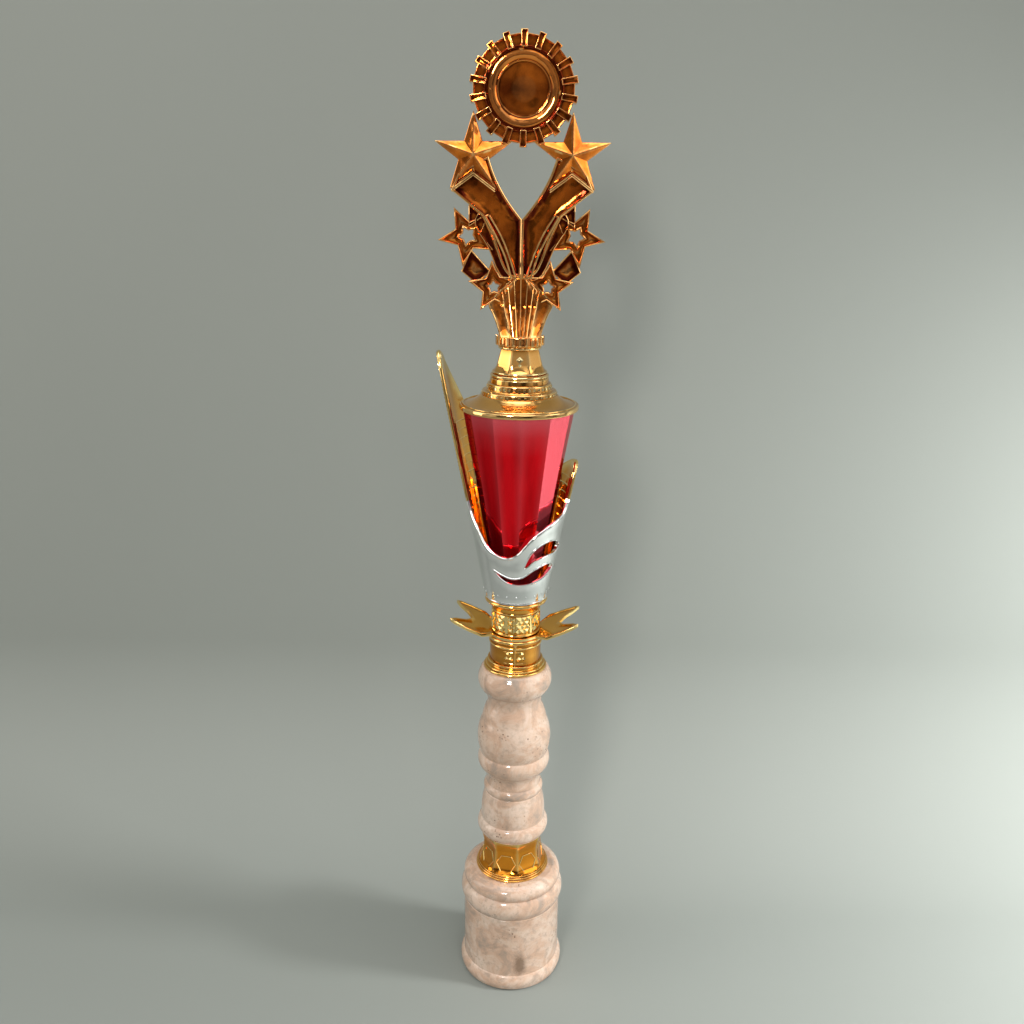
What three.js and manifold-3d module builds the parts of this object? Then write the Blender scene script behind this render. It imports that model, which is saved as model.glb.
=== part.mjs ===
// Column trophy: a turned stone base and column, gilded plastic collars, a leaf crown, a slotted
// sleeve round a twelve-sided cup, a lid and a star figure, all clamped on one threaded rod.
// Millimetres, +Z up, the figure faces -Y, and the origin is the middle of the felt pad's underside.

import * as THREE from 'three';
import { mergeVertices } from 'three/addons/utils/BufferGeometryUtils.js';
import Module from 'manifold-3d';

const wasm = await Module();
wasm.setup();

// Clearances and walls shared by the whole stack
const gap = 0.3;            // running gap between pieces that fit inside one another
const wall = 1.8;           // wall of the moulded collars, the lid and the neck
const rodRadius = 3;        // M6 tie rod
const stoneBore = rodRadius + 1.2;   // the hole drilled through both stones
const plasticBore = rodRadius + gap;

// Facets round the turned pieces
const facets = { bore: 18, small: 20, collar: 28, stone: 36, pad: 48 };

// Fasteners
const washer = { radius: 8, thickness: 1.6 };
const springWasher = { radius: 5.6, thickness: 1.6, split: 14 };   // split in degrees
const nut = { acrossFlats: 10, height: 5 };
const rodProud = 1.2;       // rod standing out of the base nut

// Heights of the pieces of the stack, from the bottom up
const base = { foot: 30, barrel: 27.9, ring: 29.7, shoulder: 28.1, height: 66.7 };
const felt = { radius: base.foot - 2, thickness: 0.8 };
const nutRecess = { radius: 13, depth: 13 };
const collar = { rim: 20.8, waist: 15.9, top: 17.2, height: 23.5, band: 3.6 };
const column = { foot: 20.1, bell: 18.3, ring: 16.8, cove: 15.3, belt: 20.2, ball: 20.3, neck: 14.8,
  cap: 20.2 };
const columnHeights = { foot: 9.4, bell: 17.2, ring: 5.4, cove: 10, belt: 9.6, ball: 25.4, neck: 13,
  cap: 13.5 };
const spool = { flange: 17, barrel: 13.8, lip: 14.6, height: 20 };
const crown = { radius: 14.5, thickness: 1.6, tip: 38, spread: 20, notch: 22.5, bend: 7.2, rise: 20,
  blunt: 0.5, turn: -5 };
const socket = { barrel: 12.6, lip: 16.5, height: 20, lipHeight: 2.4 };
const sleeve = { radius: socket.lip + 0.1, wall: 1.8, floor: 2, clearOfLid: 4.2 };
const cup = { radius: washer.radius + 2.6, mouth: 28.4, height: 99, wall: 1.5, floor: 2, sides: 12,
  turn: 3 };
const lid = { rim: cup.mouth + 1.9, band: 2.5, middle: 18.8, step: 15, stepHeight: 8, height: 16,
  spigot: 3 };
const neck = { bead: lid.step - 0.5, foot: 13.2, top: 10.2, height: 16, beadHeight: 3 };
const figure = { foot: 12.1, footHeight: 4.4, teeth: 24, toothDepth: 0.9 };
const insert = { radius: plasticBore + 1.2, length: 10 };

// Seat of each piece, each on the top of the one below it
const baseSeat = felt.thickness;
const collarSeat = baseSeat + base.height;
const columnSeat = collarSeat + collar.height;
const spoolSeat = columnSeat + Object.values(columnHeights).reduce((sum, height) => sum + height);
const crownSeat = spoolSeat + spool.height;
const socketSeat = crownSeat + crown.thickness;
const sleeveSeat = socketSeat + socket.height;
const cupSeat = sleeveSeat + sleeve.floor;
const lidSeat = cupSeat + cup.height;
const neckSeat = lidSeat + lid.height;
const figureSeat = neckSeat + neck.height;

// Finishes
const finish = {
  felt: { color: 0x1d3b2a, roughness: 0.95, metalness: 0 },
  stone: { color: 0xcdb4a0, roughness: 0.2, metalness: 0 },
  steel: { color: 0x9a9c9e, roughness: 0.35, metalness: 1 },
  brass: { color: 0xb9975a, roughness: 0.35, metalness: 1 },
  gold: { color: 0xd9a441, roughness: 0.12, metalness: 1 },
  paleGold: { color: 0xd8b25a, roughness: 0.16, metalness: 1 },
  amber: { color: 0xb8641e, roughness: 0.14, metalness: 1 },
  silver: { color: 0xc9c9c5, roughness: 0.16, metalness: 1 },
  red: { color: 0xb8141e, roughness: 0.12, metalness: 1 },
};

// ---- Helpers ----

function radians(degrees) {
  return degrees * Math.PI / 180;
}

// A closed mesh with shared vertices, as a solid that can be joined and cut
function solid(geometry) {
  const bare = geometry.index ? geometry.clone() : mergeVertices(geometry);
  bare.deleteAttribute('normal');
  bare.deleteAttribute('uv');
  const merged = mergeVertices(bare);
  return new wasm.Manifold(new wasm.Mesh({
    numProp: 3,
    vertProperties: new Float32Array(merged.attributes.position.array),
    triVerts: new Uint32Array(merged.index.array),
  }));
}

function geometryOf(body) {
  const mesh = body.getMesh();
  const geometry = new THREE.BufferGeometry();
  geometry.setAttribute('position', new THREE.BufferAttribute(mesh.vertProperties, 3));
  geometry.setIndex(new THREE.BufferAttribute(mesh.triVerts, 1));
  return geometry;
}

function fromTriangles(points, faces) {
  const geometry = new THREE.BufferGeometry();
  geometry.setAttribute('position', new THREE.Float32BufferAttribute(points.flat(), 3));
  geometry.setIndex(faces.flat());
  return geometry;
}

// A profile of [radius, height] pairs, anticlockwise, spun about Z
function turned(profile, segments) {
  const points = profile.map(([r, z]) => new THREE.Vector2(r, z));
  const geometry = new THREE.LatheGeometry(points, segments);
  geometry.rotateX(Math.PI / 2);
  geometry.deleteAttribute('normal');
  geometry.deleteAttribute('uv');
  return mergeVertices(geometry);
}

// A round stretch of a profile that swells from its two ends to a given radius
function bead(low, high, swell, from, to, steps = 5) {
  const points = [];
  for (let i = 0; i <= steps; i++) {
    const t = i / steps;
    const edge = low + (high - low) * t;
    const radius = edge + (swell - edge) * Math.sin(Math.PI * t);
    points.push([radius, from + (to - from) * (1 - Math.cos(Math.PI * t)) / 2]);
  }
  return points;
}

// A stretch that eases from one radius to another, such as a cove or the side of a bell
function ease(low, high, from, to, steps = 4, power = 1) {
  const points = [];
  for (let i = 1; i < steps; i++) {
    const t = i / steps;
    const mix = (1 - Math.cos(Math.PI * t ** power)) / 2;
    points.push([low + (high - low) * mix, from + (to - from) * t]);
  }
  return points;
}

function raised(outline, base) {
  return outline.map(([r, z]) => [r, z + base]);
}

function uprightPrism(radius, low, high, sides) {
  const geometry = new THREE.CylinderGeometry(radius, radius, high - low, sides);
  geometry.rotateX(Math.PI / 2);
  geometry.translate(0, 0, (low + high) / 2);
  return geometry;
}

function ringPlate(radius, bore, low, high, segments = facets.collar) {
  return turned([[bore, low], [radius, low], [radius, high], [bore, high], [bore, low]], segments);
}

// A flat outline in X and Z, given a thickness along Y and centred on it
function panel(outline, thickness, holes = []) {
  const shape = new THREE.Shape(outline.map(([x, z]) => new THREE.Vector2(x, z)));
  for (const hole of holes) {
    shape.holes.push(new THREE.Path(hole.map(([x, z]) => new THREE.Vector2(x, z))));
  }
  const geometry = new THREE.ExtrudeGeometry(shape, { depth: thickness, bevelEnabled: false });
  geometry.translate(0, 0, -thickness / 2);
  geometry.rotateX(Math.PI / 2);
  return geometry;
}

// ---- Base and fasteners ----

function feltPad() {
  return uprightPrism(felt.radius, 0, felt.thickness, facets.pad);
}

function baseStone() {
  const h = base.height;
  const outside = [
    [base.foot - 0.8, 0],
    ...bead(base.foot - 0.5, base.barrel, base.foot, 0.4, 8, 4),
    [base.barrel, 11],
    [base.barrel, h - 21.5],
    ...bead(base.barrel, base.shoulder - 0.9, base.ring, h - 19.5, h - 8.4, 5),
    ...bead(base.shoulder - 0.9, base.shoulder - 3.4, base.shoulder, h - 8, h - 0.4, 5),
    [base.shoulder - 5, h],
  ];
  const recess = nutRecess.depth;
  return turned([
    [nutRecess.radius, baseSeat], ...raised(outside, baseSeat), [stoneBore, baseSeat + h],
    [stoneBore, baseSeat + recess], [nutRecess.radius, baseSeat + recess], [nutRecess.radius, baseSeat],
  ], facets.stone);
}

function hexNut(low) {
  const corner = nut.acrossFlats / 2 / Math.cos(Math.PI / 6);
  const outer = solid(uprightPrism(corner, low, low + nut.height, 6));
  const bore = solid(uprightPrism(plasticBore, low - 1, low + nut.height + 1, facets.bore));
  return geometryOf(outer.subtract(bore));
}

// A split ring, closed at both sides of its split
function splitRing(low) {
  const outline = new THREE.Shape();
  const start = radians(springWasher.split / 2);
  outline.absarc(0, 0, springWasher.radius, start, 2 * Math.PI - start, false);
  outline.absarc(0, 0, plasticBore, 2 * Math.PI - start, start, true);
  const geometry = new THREE.ExtrudeGeometry(outline, {
    depth: springWasher.thickness, bevelEnabled: false, curveSegments: 14,
  });
  geometry.translate(0, 0, low);
  return geometry;
}

// Washer, spring washer and nut, stacked away from a face; direction is +1 upwards
function clamped(names, face, direction) {
  const plateLow = Math.min(face, face + direction * washer.thickness);
  const springFace = face + direction * washer.thickness;
  const springLow = Math.min(springFace, springFace + direction * springWasher.thickness);
  const nutFace = springFace + direction * springWasher.thickness;
  const nutLow = Math.min(nutFace, nutFace + direction * nut.height);
  return [
    [names.washer, ringPlate(washer.radius, plasticBore, plateLow, plateLow + washer.thickness),
      finish.steel],
    [names.spring, splitRing(springLow), finish.steel],
    [names.nut, hexNut(nutLow), finish.steel],
  ];
}

function tieRod() {
  const stack = washer.thickness + springWasher.thickness + nut.height;
  const low = baseSeat + nutRecess.depth - stack - rodProud;
  const high = figureSeat + insert.length - 1;
  const chamfer = 0.6;
  return turned([
    [0, low], [rodRadius - chamfer, low], [rodRadius, low + chamfer],
    [rodRadius, high - chamfer], [rodRadius - chamfer, high], [0, high],
  ], facets.small);
}

// ---- Collars and column ----

function baseCollar() {
  const h = collar.height;
  const outside = [
    [collar.rim - 0.4, 0],
    [collar.rim, 0.6],
    [collar.rim, collar.band - 0.8],
    [collar.rim - 0.9, collar.band],
    ...ease(collar.rim - 0.9, collar.waist, collar.band, h - 7, 5, 0.75),
    [collar.waist, h - 7],
    [collar.top, h - 0.6],
    [collar.top - 0.6, h],
  ];
  const inside = [
    [plasticBore, h], [plasticBore, h - wall - 1.2], [collar.waist - wall, h - wall - 1.2],
    [collar.waist - wall, h - 10], [collar.rim - wall - 0.9, collar.band], [collar.rim - wall - 0.9, 0],
  ];
  return turned(raised([...outside, ...inside, outside[0]], collarSeat), facets.stone);
}

function columnStone() {
  const c = column;
  const heights = columnHeights;
  const bell = heights.foot;
  const ring = bell + heights.bell;
  const cove = ring + heights.ring;
  const belt = cove + heights.cove;
  const ball = belt + heights.belt;
  const neckLow = ball + heights.ball;
  const cap = neckLow + heights.neck;
  const top = cap + heights.cap;
  const crease = 0.4;
  const outside = [
    [c.foot - 1.6, 0],
    ...bead(c.foot - 1.6, c.bell, c.foot, crease, bell, 4),
    [c.bell, bell + heights.bell * 0.2],
    ...ease(c.bell, c.ring - 0.9, bell + heights.bell * 0.2, ring, 4, 1.4),
    ...bead(c.ring - 0.9, c.ring - 1, c.ring, ring, cove, 4),
    [c.cove, cove + heights.cove * 0.3],
    ...ease(c.cove, c.belt - 1.6, cove + heights.cove * 0.3, belt, 3, 1.2),
    ...bead(c.belt - 1.6, c.belt - 1.2, c.belt, belt, ball - crease, 4),
    ...bead(c.belt - 1.2, c.neck + 2.4, c.ball, ball, neckLow, 6),
    ...ease(c.neck + 2.4, c.neck, neckLow, neckLow + heights.neck * 0.55, 3),
    [c.neck, neckLow + heights.neck * 0.55],
    ...ease(c.neck, c.cap - 2.2, neckLow + heights.neck * 0.55, cap, 3, 1.3),
    ...bead(c.cap - 2.2, c.cap - 2.2, c.cap, cap, top - crease, 5),
    [c.cap - 3, top],
  ];
  const profile = [[stoneBore, 0], ...outside, [stoneBore, top], [stoneBore, 0]];
  return turned(raised(profile, columnSeat), facets.collar);
}

function spoolCollar() {
  const h = spool.height;
  const outside = [
    [spool.flange - 0.5, 0],
    ...bead(spool.flange - 0.5, spool.flange - 0.9, spool.flange, 0, 2.6, 3),
    ...bead(spool.barrel + 1.2, spool.barrel + 0.3, spool.barrel + 1.4, 3, 5, 3),
    [spool.barrel, 5.6],
    [spool.barrel, h - 5.2],
    ...bead(spool.barrel, spool.barrel, spool.lip, h - 5.2, h - 2.8, 3),
    ...bead(spool.barrel, spool.barrel, spool.lip, h - 2.6, h - 0.2, 3),
    [spool.barrel - 0.4, h],
  ];
  const inside = [
    [plasticBore, h], [plasticBore, h - wall], [spool.barrel - wall, h - wall], [spool.barrel - wall, 0],
  ];
  return turned(raised([...outside, ...inside, outside[0]], spoolSeat), facets.collar);
}

// One wing of the leaf crown: two pointed leaves with a notch between them, rising from the bend
function crownWing(side) {
  const { blunt, bend } = crown;
  const tipX = crown.tip * Math.cos(radians(crown.spread));
  const tipY = crown.tip * Math.sin(radians(crown.spread));
  const root = crown.radius - crown.thickness;
  const shape = new THREE.Shape([
    new THREE.Vector2(0, -root),
    new THREE.Vector2(tipX - blunt, -tipY - blunt), new THREE.Vector2(tipX, -tipY + blunt),
    new THREE.Vector2(crown.notch, 0),
    new THREE.Vector2(tipX, tipY - blunt), new THREE.Vector2(tipX - blunt, tipY + blunt),
    new THREE.Vector2(0, root),
  ]);
  const geometry = new THREE.ExtrudeGeometry(shape, { depth: crown.thickness, bevelEnabled: false });
  geometry.translate(-bend, 0, 0);
  geometry.rotateY(-radians(crown.rise));
  geometry.translate(bend, 0, 0);
  if (side < 0) geometry.rotateZ(Math.PI);
  return solid(geometry);
}

function leafCrown() {
  const far = crown.tip * 2;
  const disc = solid(uprightPrism(crown.radius, 0, crown.thickness, facets.stone));
  const bore = solid(uprightPrism(plasticBore, -far, far, facets.bore));
  const below = solid(uprightPrism(far, -far, 0, facets.small));
  const seat = solid(uprightPrism(socket.barrel + gap, crown.thickness, far, facets.collar));
  const wings = crownWing(1).add(crownWing(-1)).subtract(below).subtract(seat);
  const geometry = geometryOf(disc.add(wings).subtract(bore));
  geometry.rotateZ(radians(crown.turn));
  geometry.translate(0, 0, crownSeat);
  return geometry;
}

function cupSocket() {
  const h = socket.height;
  const lipLow = h - socket.lipHeight;
  const outside = [
    [socket.barrel - 0.5, 0],
    [socket.barrel, 0.6],
    [socket.barrel, h - 9],
    ...ease(socket.barrel, socket.lip - 0.6, h - 9, lipLow, 5, 1.6),
    [socket.lip - 0.6, lipLow],
    ...bead(socket.lip - 0.4, socket.lip - 0.5, socket.lip, lipLow + 0.3, h - 0.1, 3),
    [socket.lip - 1.2, h],
  ];
  const inside = [
    [plasticBore, h], [plasticBore, h - wall], [socket.barrel - wall, h - wall], [socket.barrel - wall, 0],
  ];
  return turned(raised([...outside, ...inside, outside[0]], socketSeat), facets.collar);
}

// ---- Sleeve and cup ----

function sleeveRadius(height) {
  const besideLid = lid.rim + sleeve.clearOfLid + sleeve.wall;
  return sleeve.radius + (besideLid - sleeve.radius) * height / (sleeve.floor + cup.height);
}

// Top edge of the sleeve as [azimuth in degrees from the front, height above its seat], going round
// from the back valley past the right wing, the low front and the tall left blade
const sleeveEdge = [
  [-180, 54], [-163, 62], [-147, 75], [-132, 90], [-117, 108], [-106, 120], [-99, 127], [-93, 127.6],
  [-88, 121], [-85, 104], [-82.5, 80], [-79, 60], [-72, 49], [-62, 42], [-52, 35.5], [-40, 30.6],
  [-26, 27.8], [-11, 27.2], [2, 29.6], [13, 34.6], [24, 39.6], [40, 43.6], [56, 46.2], [69, 48.8],
  [77, 53.6], [82, 62], [87, 69.6], [95, 72.6], [108, 71.6], [126, 66.5], [146, 60], [164, 55.5],
];

// Slots through the sleeve's right front, as closed loops of [azimuth, height]
const sleeveSlots = [
  [[9, 22.4], [18, 30.4], [30, 34.6], [46, 36.2], [62, 34.6], [77, 30.2], [66, 27.6], [46, 27.2],
    [28, 25.6], [14, 22]],
  [[-38, 20.4], [-24, 18.2], [-8, 16.3], [8, 17], [24, 20.6], [42, 23], [58, 22.4], [66, 19.4], [52, 16],
    [34, 13.4], [14, 12], [-6, 12.2], [-24, 14.9]],
];
const edgeColumns = 84;     // steps round the sleeve's top edge
const slotSteps = 20;       // steps round each slot

// Evenly stepped points round a closed loop, drawn smoothly through the given ones
function smoothLoop(points, count) {
  const curve = new THREE.CatmullRomCurve3(points.map(([a, z]) => new THREE.Vector3(a, z, 0)), true);
  return curve.getPoints(count).slice(0, count).map((p) => new THREE.Vector2(p.x, p.y));
}

function around(radius, azimuth, z) {
  return [radius * Math.sin(radians(azimuth)), -radius * Math.cos(radians(azimuth)), z];
}

function sleeveShell() {
  const closing = [180, sleeveEdge[0][1]];
  const curve = new THREE.CatmullRomCurve3(
    [...sleeveEdge, closing].map(([a, z]) => new THREE.Vector3(a, z, 0)), false, 'centripetal');
  const edge = curve.getSpacedPoints(edgeColumns).slice(0, edgeColumns);
  const points = [];
  const faces = [];
  for (const { x: azimuth, y: height } of edge) {
    const outer = sleeveRadius(height);
    points.push(
      around(sleeveRadius(0), azimuth, 0), around(outer, azimuth, height),
      around(outer - sleeve.wall, azimuth, height), around(sleeveRadius(0) - sleeve.wall, azimuth, 0));
  }
  for (let i = 0; i < edgeColumns; i++) {
    const next = (i + 1) % edgeColumns;
    for (let k = 0; k < 4; k++) {
      const a = 4 * i + k;
      const b = 4 * next + k;
      const c = 4 * next + (k + 1) % 4;
      const d = 4 * i + (k + 1) % 4;
      faces.push([a, b, c], [a, c, d]);
    }
  }
  return solid(fromTriangles(points, faces));
}

// A loop on the sleeve, pushed through the wall along the radius
function slotCutter(loop) {
  const inner = sleeve.radius / 2;
  const outer = sleeveRadius(0) * 2;
  const contour = smoothLoop(loop, slotSteps);
  if (THREE.ShapeUtils.isClockWise(contour)) contour.reverse();
  const n = contour.length;
  const caps = THREE.ShapeUtils.triangulateShape(contour, []);
  const points = [outer, inner].flatMap((radius) => contour.map((p) => around(radius, p.x, p.y)));
  const faces = [];
  for (const [a, b, c] of caps) {
    faces.push([a, b, c], [n + a, n + c, n + b]);
  }
  for (let i = 0; i < n; i++) {
    const next = (i + 1) % n;
    faces.push([i, n + i, n + next], [i, n + next, next]);
  }
  return solid(fromTriangles(points, faces));
}

function slottedSleeve() {
  const floor = solid(turned([
    [plasticBore, 0], [sleeve.radius - sleeve.wall / 2, 0], [sleeve.radius - sleeve.wall / 2, sleeve.floor],
    [plasticBore, sleeve.floor], [plasticBore, 0],
  ], facets.stone));
  let body = sleeveShell().add(floor);
  for (const loop of sleeveSlots) {
    body = body.subtract(slotCutter(loop));
  }
  const geometry = geometryOf(body);
  geometry.translate(0, 0, sleeveSeat);
  return geometry;
}

// Twelve flat sides, open at the top, turned a little so that no corner faces straight ahead
function facetedCup() {
  const slope = (cup.mouth - cup.radius) / cup.height;
  const innerFloor = cup.radius + slope * cup.floor - cup.wall;
  const geometry = turned([
    [plasticBore, 0], [cup.radius, 0], [cup.mouth, cup.height], [cup.mouth - cup.wall, cup.height],
    [innerFloor, cup.floor], [plasticBore, cup.floor], [plasticBore, 0],
  ], cup.sides);
  geometry.rotateZ(radians(cup.turn));
  geometry.translate(0, 0, cupSeat);
  return geometry;
}

// ---- Lid and neck ----

function lidShell() {
  const h = lid.height;
  const spigot = (cup.mouth - cup.wall) * Math.cos(Math.PI / cup.sides) - gap - 0.4;
  const shoulder = h - lid.stepHeight;
  const outside = [
    [spigot, -lid.spigot],
    [spigot, 0],
    [lid.rim - 0.3, 0],
    [lid.rim, 0.4],
    [lid.rim, lid.band - 0.3],
    [lid.rim - 0.6, lid.band],
    ...ease(lid.rim - 0.6, lid.middle, lid.band, shoulder, 4, 0.8),
    [lid.middle, shoulder],
    [lid.middle - 1.2, shoulder + 1.6],
    [lid.step, shoulder + 3],
    [lid.step, h - 0.5],
    [lid.step - 0.5, h],
  ];
  const inside = [
    [plasticBore, h], [plasticBore, h - wall], [lid.step - wall, h - wall],
    [lid.step - wall, shoulder + 1.4], [spigot - wall, 1], [spigot - wall, -lid.spigot],
    [spigot, -lid.spigot],
  ];
  return turned(raised([...outside, ...inside], lidSeat), facets.stone);
}

function neckRiser() {
  const h = neck.height;
  const outside = [
    [neck.bead - 0.5, 0],
    ...bead(neck.bead - 0.5, neck.foot, neck.bead, 0.2, neck.beadHeight, 4),
    [neck.top, h - 1.4],
    [neck.top + 0.2, h],
  ];
  const inside = [
    [plasticBore, h], [plasticBore, h - wall], [neck.top - wall, h - wall],
    [neck.foot - wall, neck.beadHeight], [neck.foot - wall, 0],
  ];
  return turned(raised([...outside, ...inside, outside[0]], neckSeat), facets.collar);
}

// ---- Star figure ----

// The figure's features, as places [x, z] above its seat; each has its mirror image on the left
const bigStar = { at: [23.1, 88], outer: 19.2, inner: 7.4, turn: 90, rim: 6, peak: 12 };
const middleStar = { at: [25.9, 51.5], outer: 14.6, inner: 6.6, turn: 63.5, hole: 4.6, thickness: 5 };
const lowerStar = { at: [13.1, 27.6], outer: 12.9, inner: 6, turn: 85, hole: 3.3, thickness: 6.4 };
const medallion = { bar: 25, block: 23.3, barSpan: 8.4, bars: 18, dish: 16.8, dishDepth: 2,
  thickness: 9, bite: 0.3 };
const tailOutline = [
  [0, 59.3], [5, 65.5], [9.6, 72.4], [13.4, 80], [16, 87.5], [30, 80], [33.6, 72.2], [27.4, 67.5],
  [18.9, 60.7], [14, 51], [10.6, 41], [7.6, 35], [3.3, 31.5], [0, 31.5],
];
const sideTail = [[19.6, 62], [22.4, 56.5], [16, 46], [10.4, 33.5], [4.5, 31.2], [9.5, 40], [13.5, 50]];
const diamondPanel = [[27.6, 45], [14.4, 34.8], [21, 29.6], [29.6, 35.2]];
const fan = [   // [height, half width, half depth] of the fluted stem, from the foot up
  [figure.footHeight, 9.9, 9.9], [7, 10.2, 9.6], [12, 11, 8.4], [17, 14, 7], [20, 16.2, 6.2],
  [25, 13, 5.2], [33.5, 5, 4.4],
];
const tailThickness = 7.2;

// Corners of a five-pointed star, from a tip round to the last hollow
function starOutline({ at, outer, inner, turn }, side) {
  const points = [];
  for (let i = 0; i < 10; i++) {
    const angle = radians(turn + 36 * i);
    const reach = i % 2 ? inner : outer;
    points.push([side * (at[0] + reach * Math.cos(angle)), at[1] + reach * Math.sin(angle)]);
  }
  return side < 0 ? points.reverse() : points;
}

// A star whose front and back rise to a peak at the middle
function peakedStar(star, side) {
  const outline = starOutline(star, side);
  const front = outline.map(([x, z]) => [x, -star.rim / 2, z]);
  const back = outline.map(([x, z]) => [x, star.rim / 2, z]);
  const middle = [side * star.at[0], star.at[1]];
  const peaks = [[middle[0], -star.peak / 2, middle[1]], [middle[0], star.peak / 2, middle[1]]];
  const faces = [];
  for (let i = 0; i < 10; i++) {
    const next = (i + 1) % 10;
    faces.push([i, next, 20], [10 + next, 10 + i, 21], [i, 10 + i, 10 + next], [i, 10 + next, next]);
  }
  return solid(fromTriangles([...front, ...back, ...peaks], faces));
}

function openStar(star, side) {
  const hole = starOutline({ ...star, outer: star.hole, inner: star.hole * 0.62 }, side);
  return solid(panel(starOutline(star, side), star.thickness, [hole]));
}

function mirrored(outline, side) {
  return side > 0 ? outline : outline.map(([x, z]) => [-x, z]).reverse();
}

// The medallion sits where the inner tips of the two big stars just bite into its blocks
function medallionCentre() {
  const tip = starOutline(bigStar, 1)[2];
  return tip[1] + Math.sqrt((medallion.block - medallion.bite) ** 2 - tip[0] ** 2);
}

// Bars and blocks in turn round a dished disc
function medallionBody() {
  const { bars, bar, block, barSpan, thickness } = medallion;
  const z = medallionCentre();
  const pitch = 360 / bars;
  const outline = [];
  for (let i = 0; i < bars; i++) {
    const middle = 90 + i * pitch;
    const half = barSpan / 2;
    const corners = [[block, half - pitch], [block, -half], [bar, -half], [bar, half]];
    for (const [reach, offset] of corners) {
      const angle = radians(middle + offset);
      outline.push([reach * Math.cos(angle), z + reach * Math.sin(angle)]);
    }
  }
  return solid(panel(outline, thickness)).subtract(dishCutter(-1)).subtract(dishCutter(1));
}

function dishCutter(side) {
  const { thickness, dish, dishDepth } = medallion;
  const floor = dish - dishDepth;
  const geometry = new THREE.CylinderGeometry(
    side > 0 ? dish : floor, side > 0 ? floor : dish, dishDepth * 2, facets.stone);
  geometry.translate(0, side * thickness / 2, medallionCentre());
  return solid(geometry);
}

// Oval sections of the stem, from a round foot to a flat fan
function fanBody() {
  const sides = facets.collar;
  const points = [];
  const faces = [];
  for (const [z, halfWidth, halfDepth] of fan) {
    for (let i = 0; i < sides; i++) {
      const angle = 2 * Math.PI * i / sides;
      points.push([halfWidth * Math.cos(angle), halfDepth * Math.sin(angle), z]);
    }
  }
  for (let level = 0; level < fan.length - 1; level++) {
    for (let i = 0; i < sides; i++) {
      const a = level * sides + i;
      const b = level * sides + (i + 1) % sides;
      faces.push([a, b, b + sides], [a, b + sides, a + sides]);
    }
  }
  const top = (fan.length - 1) * sides;
  for (let i = 1; i < sides - 1; i++) {
    faces.push([0, i + 1, i], [top, top + i, top + i + 1]);
  }
  return solid(fromTriangles(points, faces));
}

// Teeth and the hollows between them each take their share of the rim, and a slope takes the rest
function toothedFoot() {
  const toothShare = 0.84;
  const shape = new THREE.Shape();
  const steps = figure.teeth * 2;
  for (let i = 0; i < steps; i++) {
    const reach = figure.foot - (i % 2) * figure.toothDepth;
    for (const side of [-1, 1]) {
      const angle = 2 * Math.PI * (i + side * toothShare / 2) / steps;
      const place = [reach * Math.cos(angle), reach * Math.sin(angle)];
      if (i === 0 && side < 0) shape.moveTo(...place);
      else shape.lineTo(...place);
    }
  }
  return solid(new THREE.ExtrudeGeometry(shape, { depth: figure.footHeight + 0.4, bevelEnabled: false }));
}

function starFigure() {
  let body = toothedFoot().add(fanBody()).add(medallionBody());
  for (const side of [1, -1]) {
    body = body.add(solid(panel(mirrored(tailOutline, side), tailThickness)));
    body = body.add(solid(panel(mirrored(sideTail, side), tailThickness - 1)));
    body = body.add(solid(panel(mirrored(diamondPanel, side), middleStar.thickness - 0.6)));
    body = body.add(peakedStar(bigStar, side));
    body = body.add(openStar(middleStar, side));
    body = body.add(openStar(lowerStar, side));
  }
  const pocket = solid(uprightPrism(insert.radius + gap, -1, insert.length + 2 * gap, facets.collar));
  const geometry = geometryOf(body.subtract(pocket));
  geometry.translate(0, 0, figureSeat);
  return geometry;
}

function figureInsert() {
  const low = figureSeat + gap;
  return ringPlate(insert.radius, plasticBore, low, low + insert.length);
}

// ---- Assembly ----

const pieces = [
  ['felt_pad', feltPad(), finish.felt],
  ['base_stone', baseStone(), finish.stone],
  ...clamped({ washer: 'base_washer', spring: 'base_spring_washer', nut: 'base_nut' },
    baseSeat + nutRecess.depth, -1),
  ['tie_rod', tieRod(), finish.steel],
  ['base_collar', baseCollar(), finish.gold],
  ['column_stone', columnStone(), finish.stone],
  ['spool_collar', spoolCollar(), finish.gold],
  ['leaf_crown', leafCrown(), finish.gold],
  ['cup_socket', cupSocket(), finish.gold],
  ['sleeve', slottedSleeve(), finish.silver],
  ['cup', facetedCup(), finish.red],
  ...clamped({ washer: 'cup_washer', spring: 'cup_spring_washer', nut: 'cup_nut' },
    cupSeat + cup.floor, 1),
  ['lid', lidShell(), finish.paleGold],
  ['neck', neckRiser(), finish.paleGold],
  ['figure', starFigure(), finish.amber],
  ['figure_insert', figureInsert(), finish.brass],
];

const trophy = new THREE.Group();
for (const [name, geometry, look] of pieces) {
  const mesh = new THREE.Mesh(geometry, new THREE.MeshStandardMaterial(look));
  mesh.name = name;
  trophy.add(mesh);
}

export default trophy;
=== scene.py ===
# Column trophy: turned stone, plated collars, a red cup in a slotted sleeve and a star figure.
# Sizes are millimetres above the seat that the frame gives for each piece; the mesh is made in metres.
import math
import bmesh
import bpy
import numpy
from mathutils import Matrix, Vector, geometry


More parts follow.
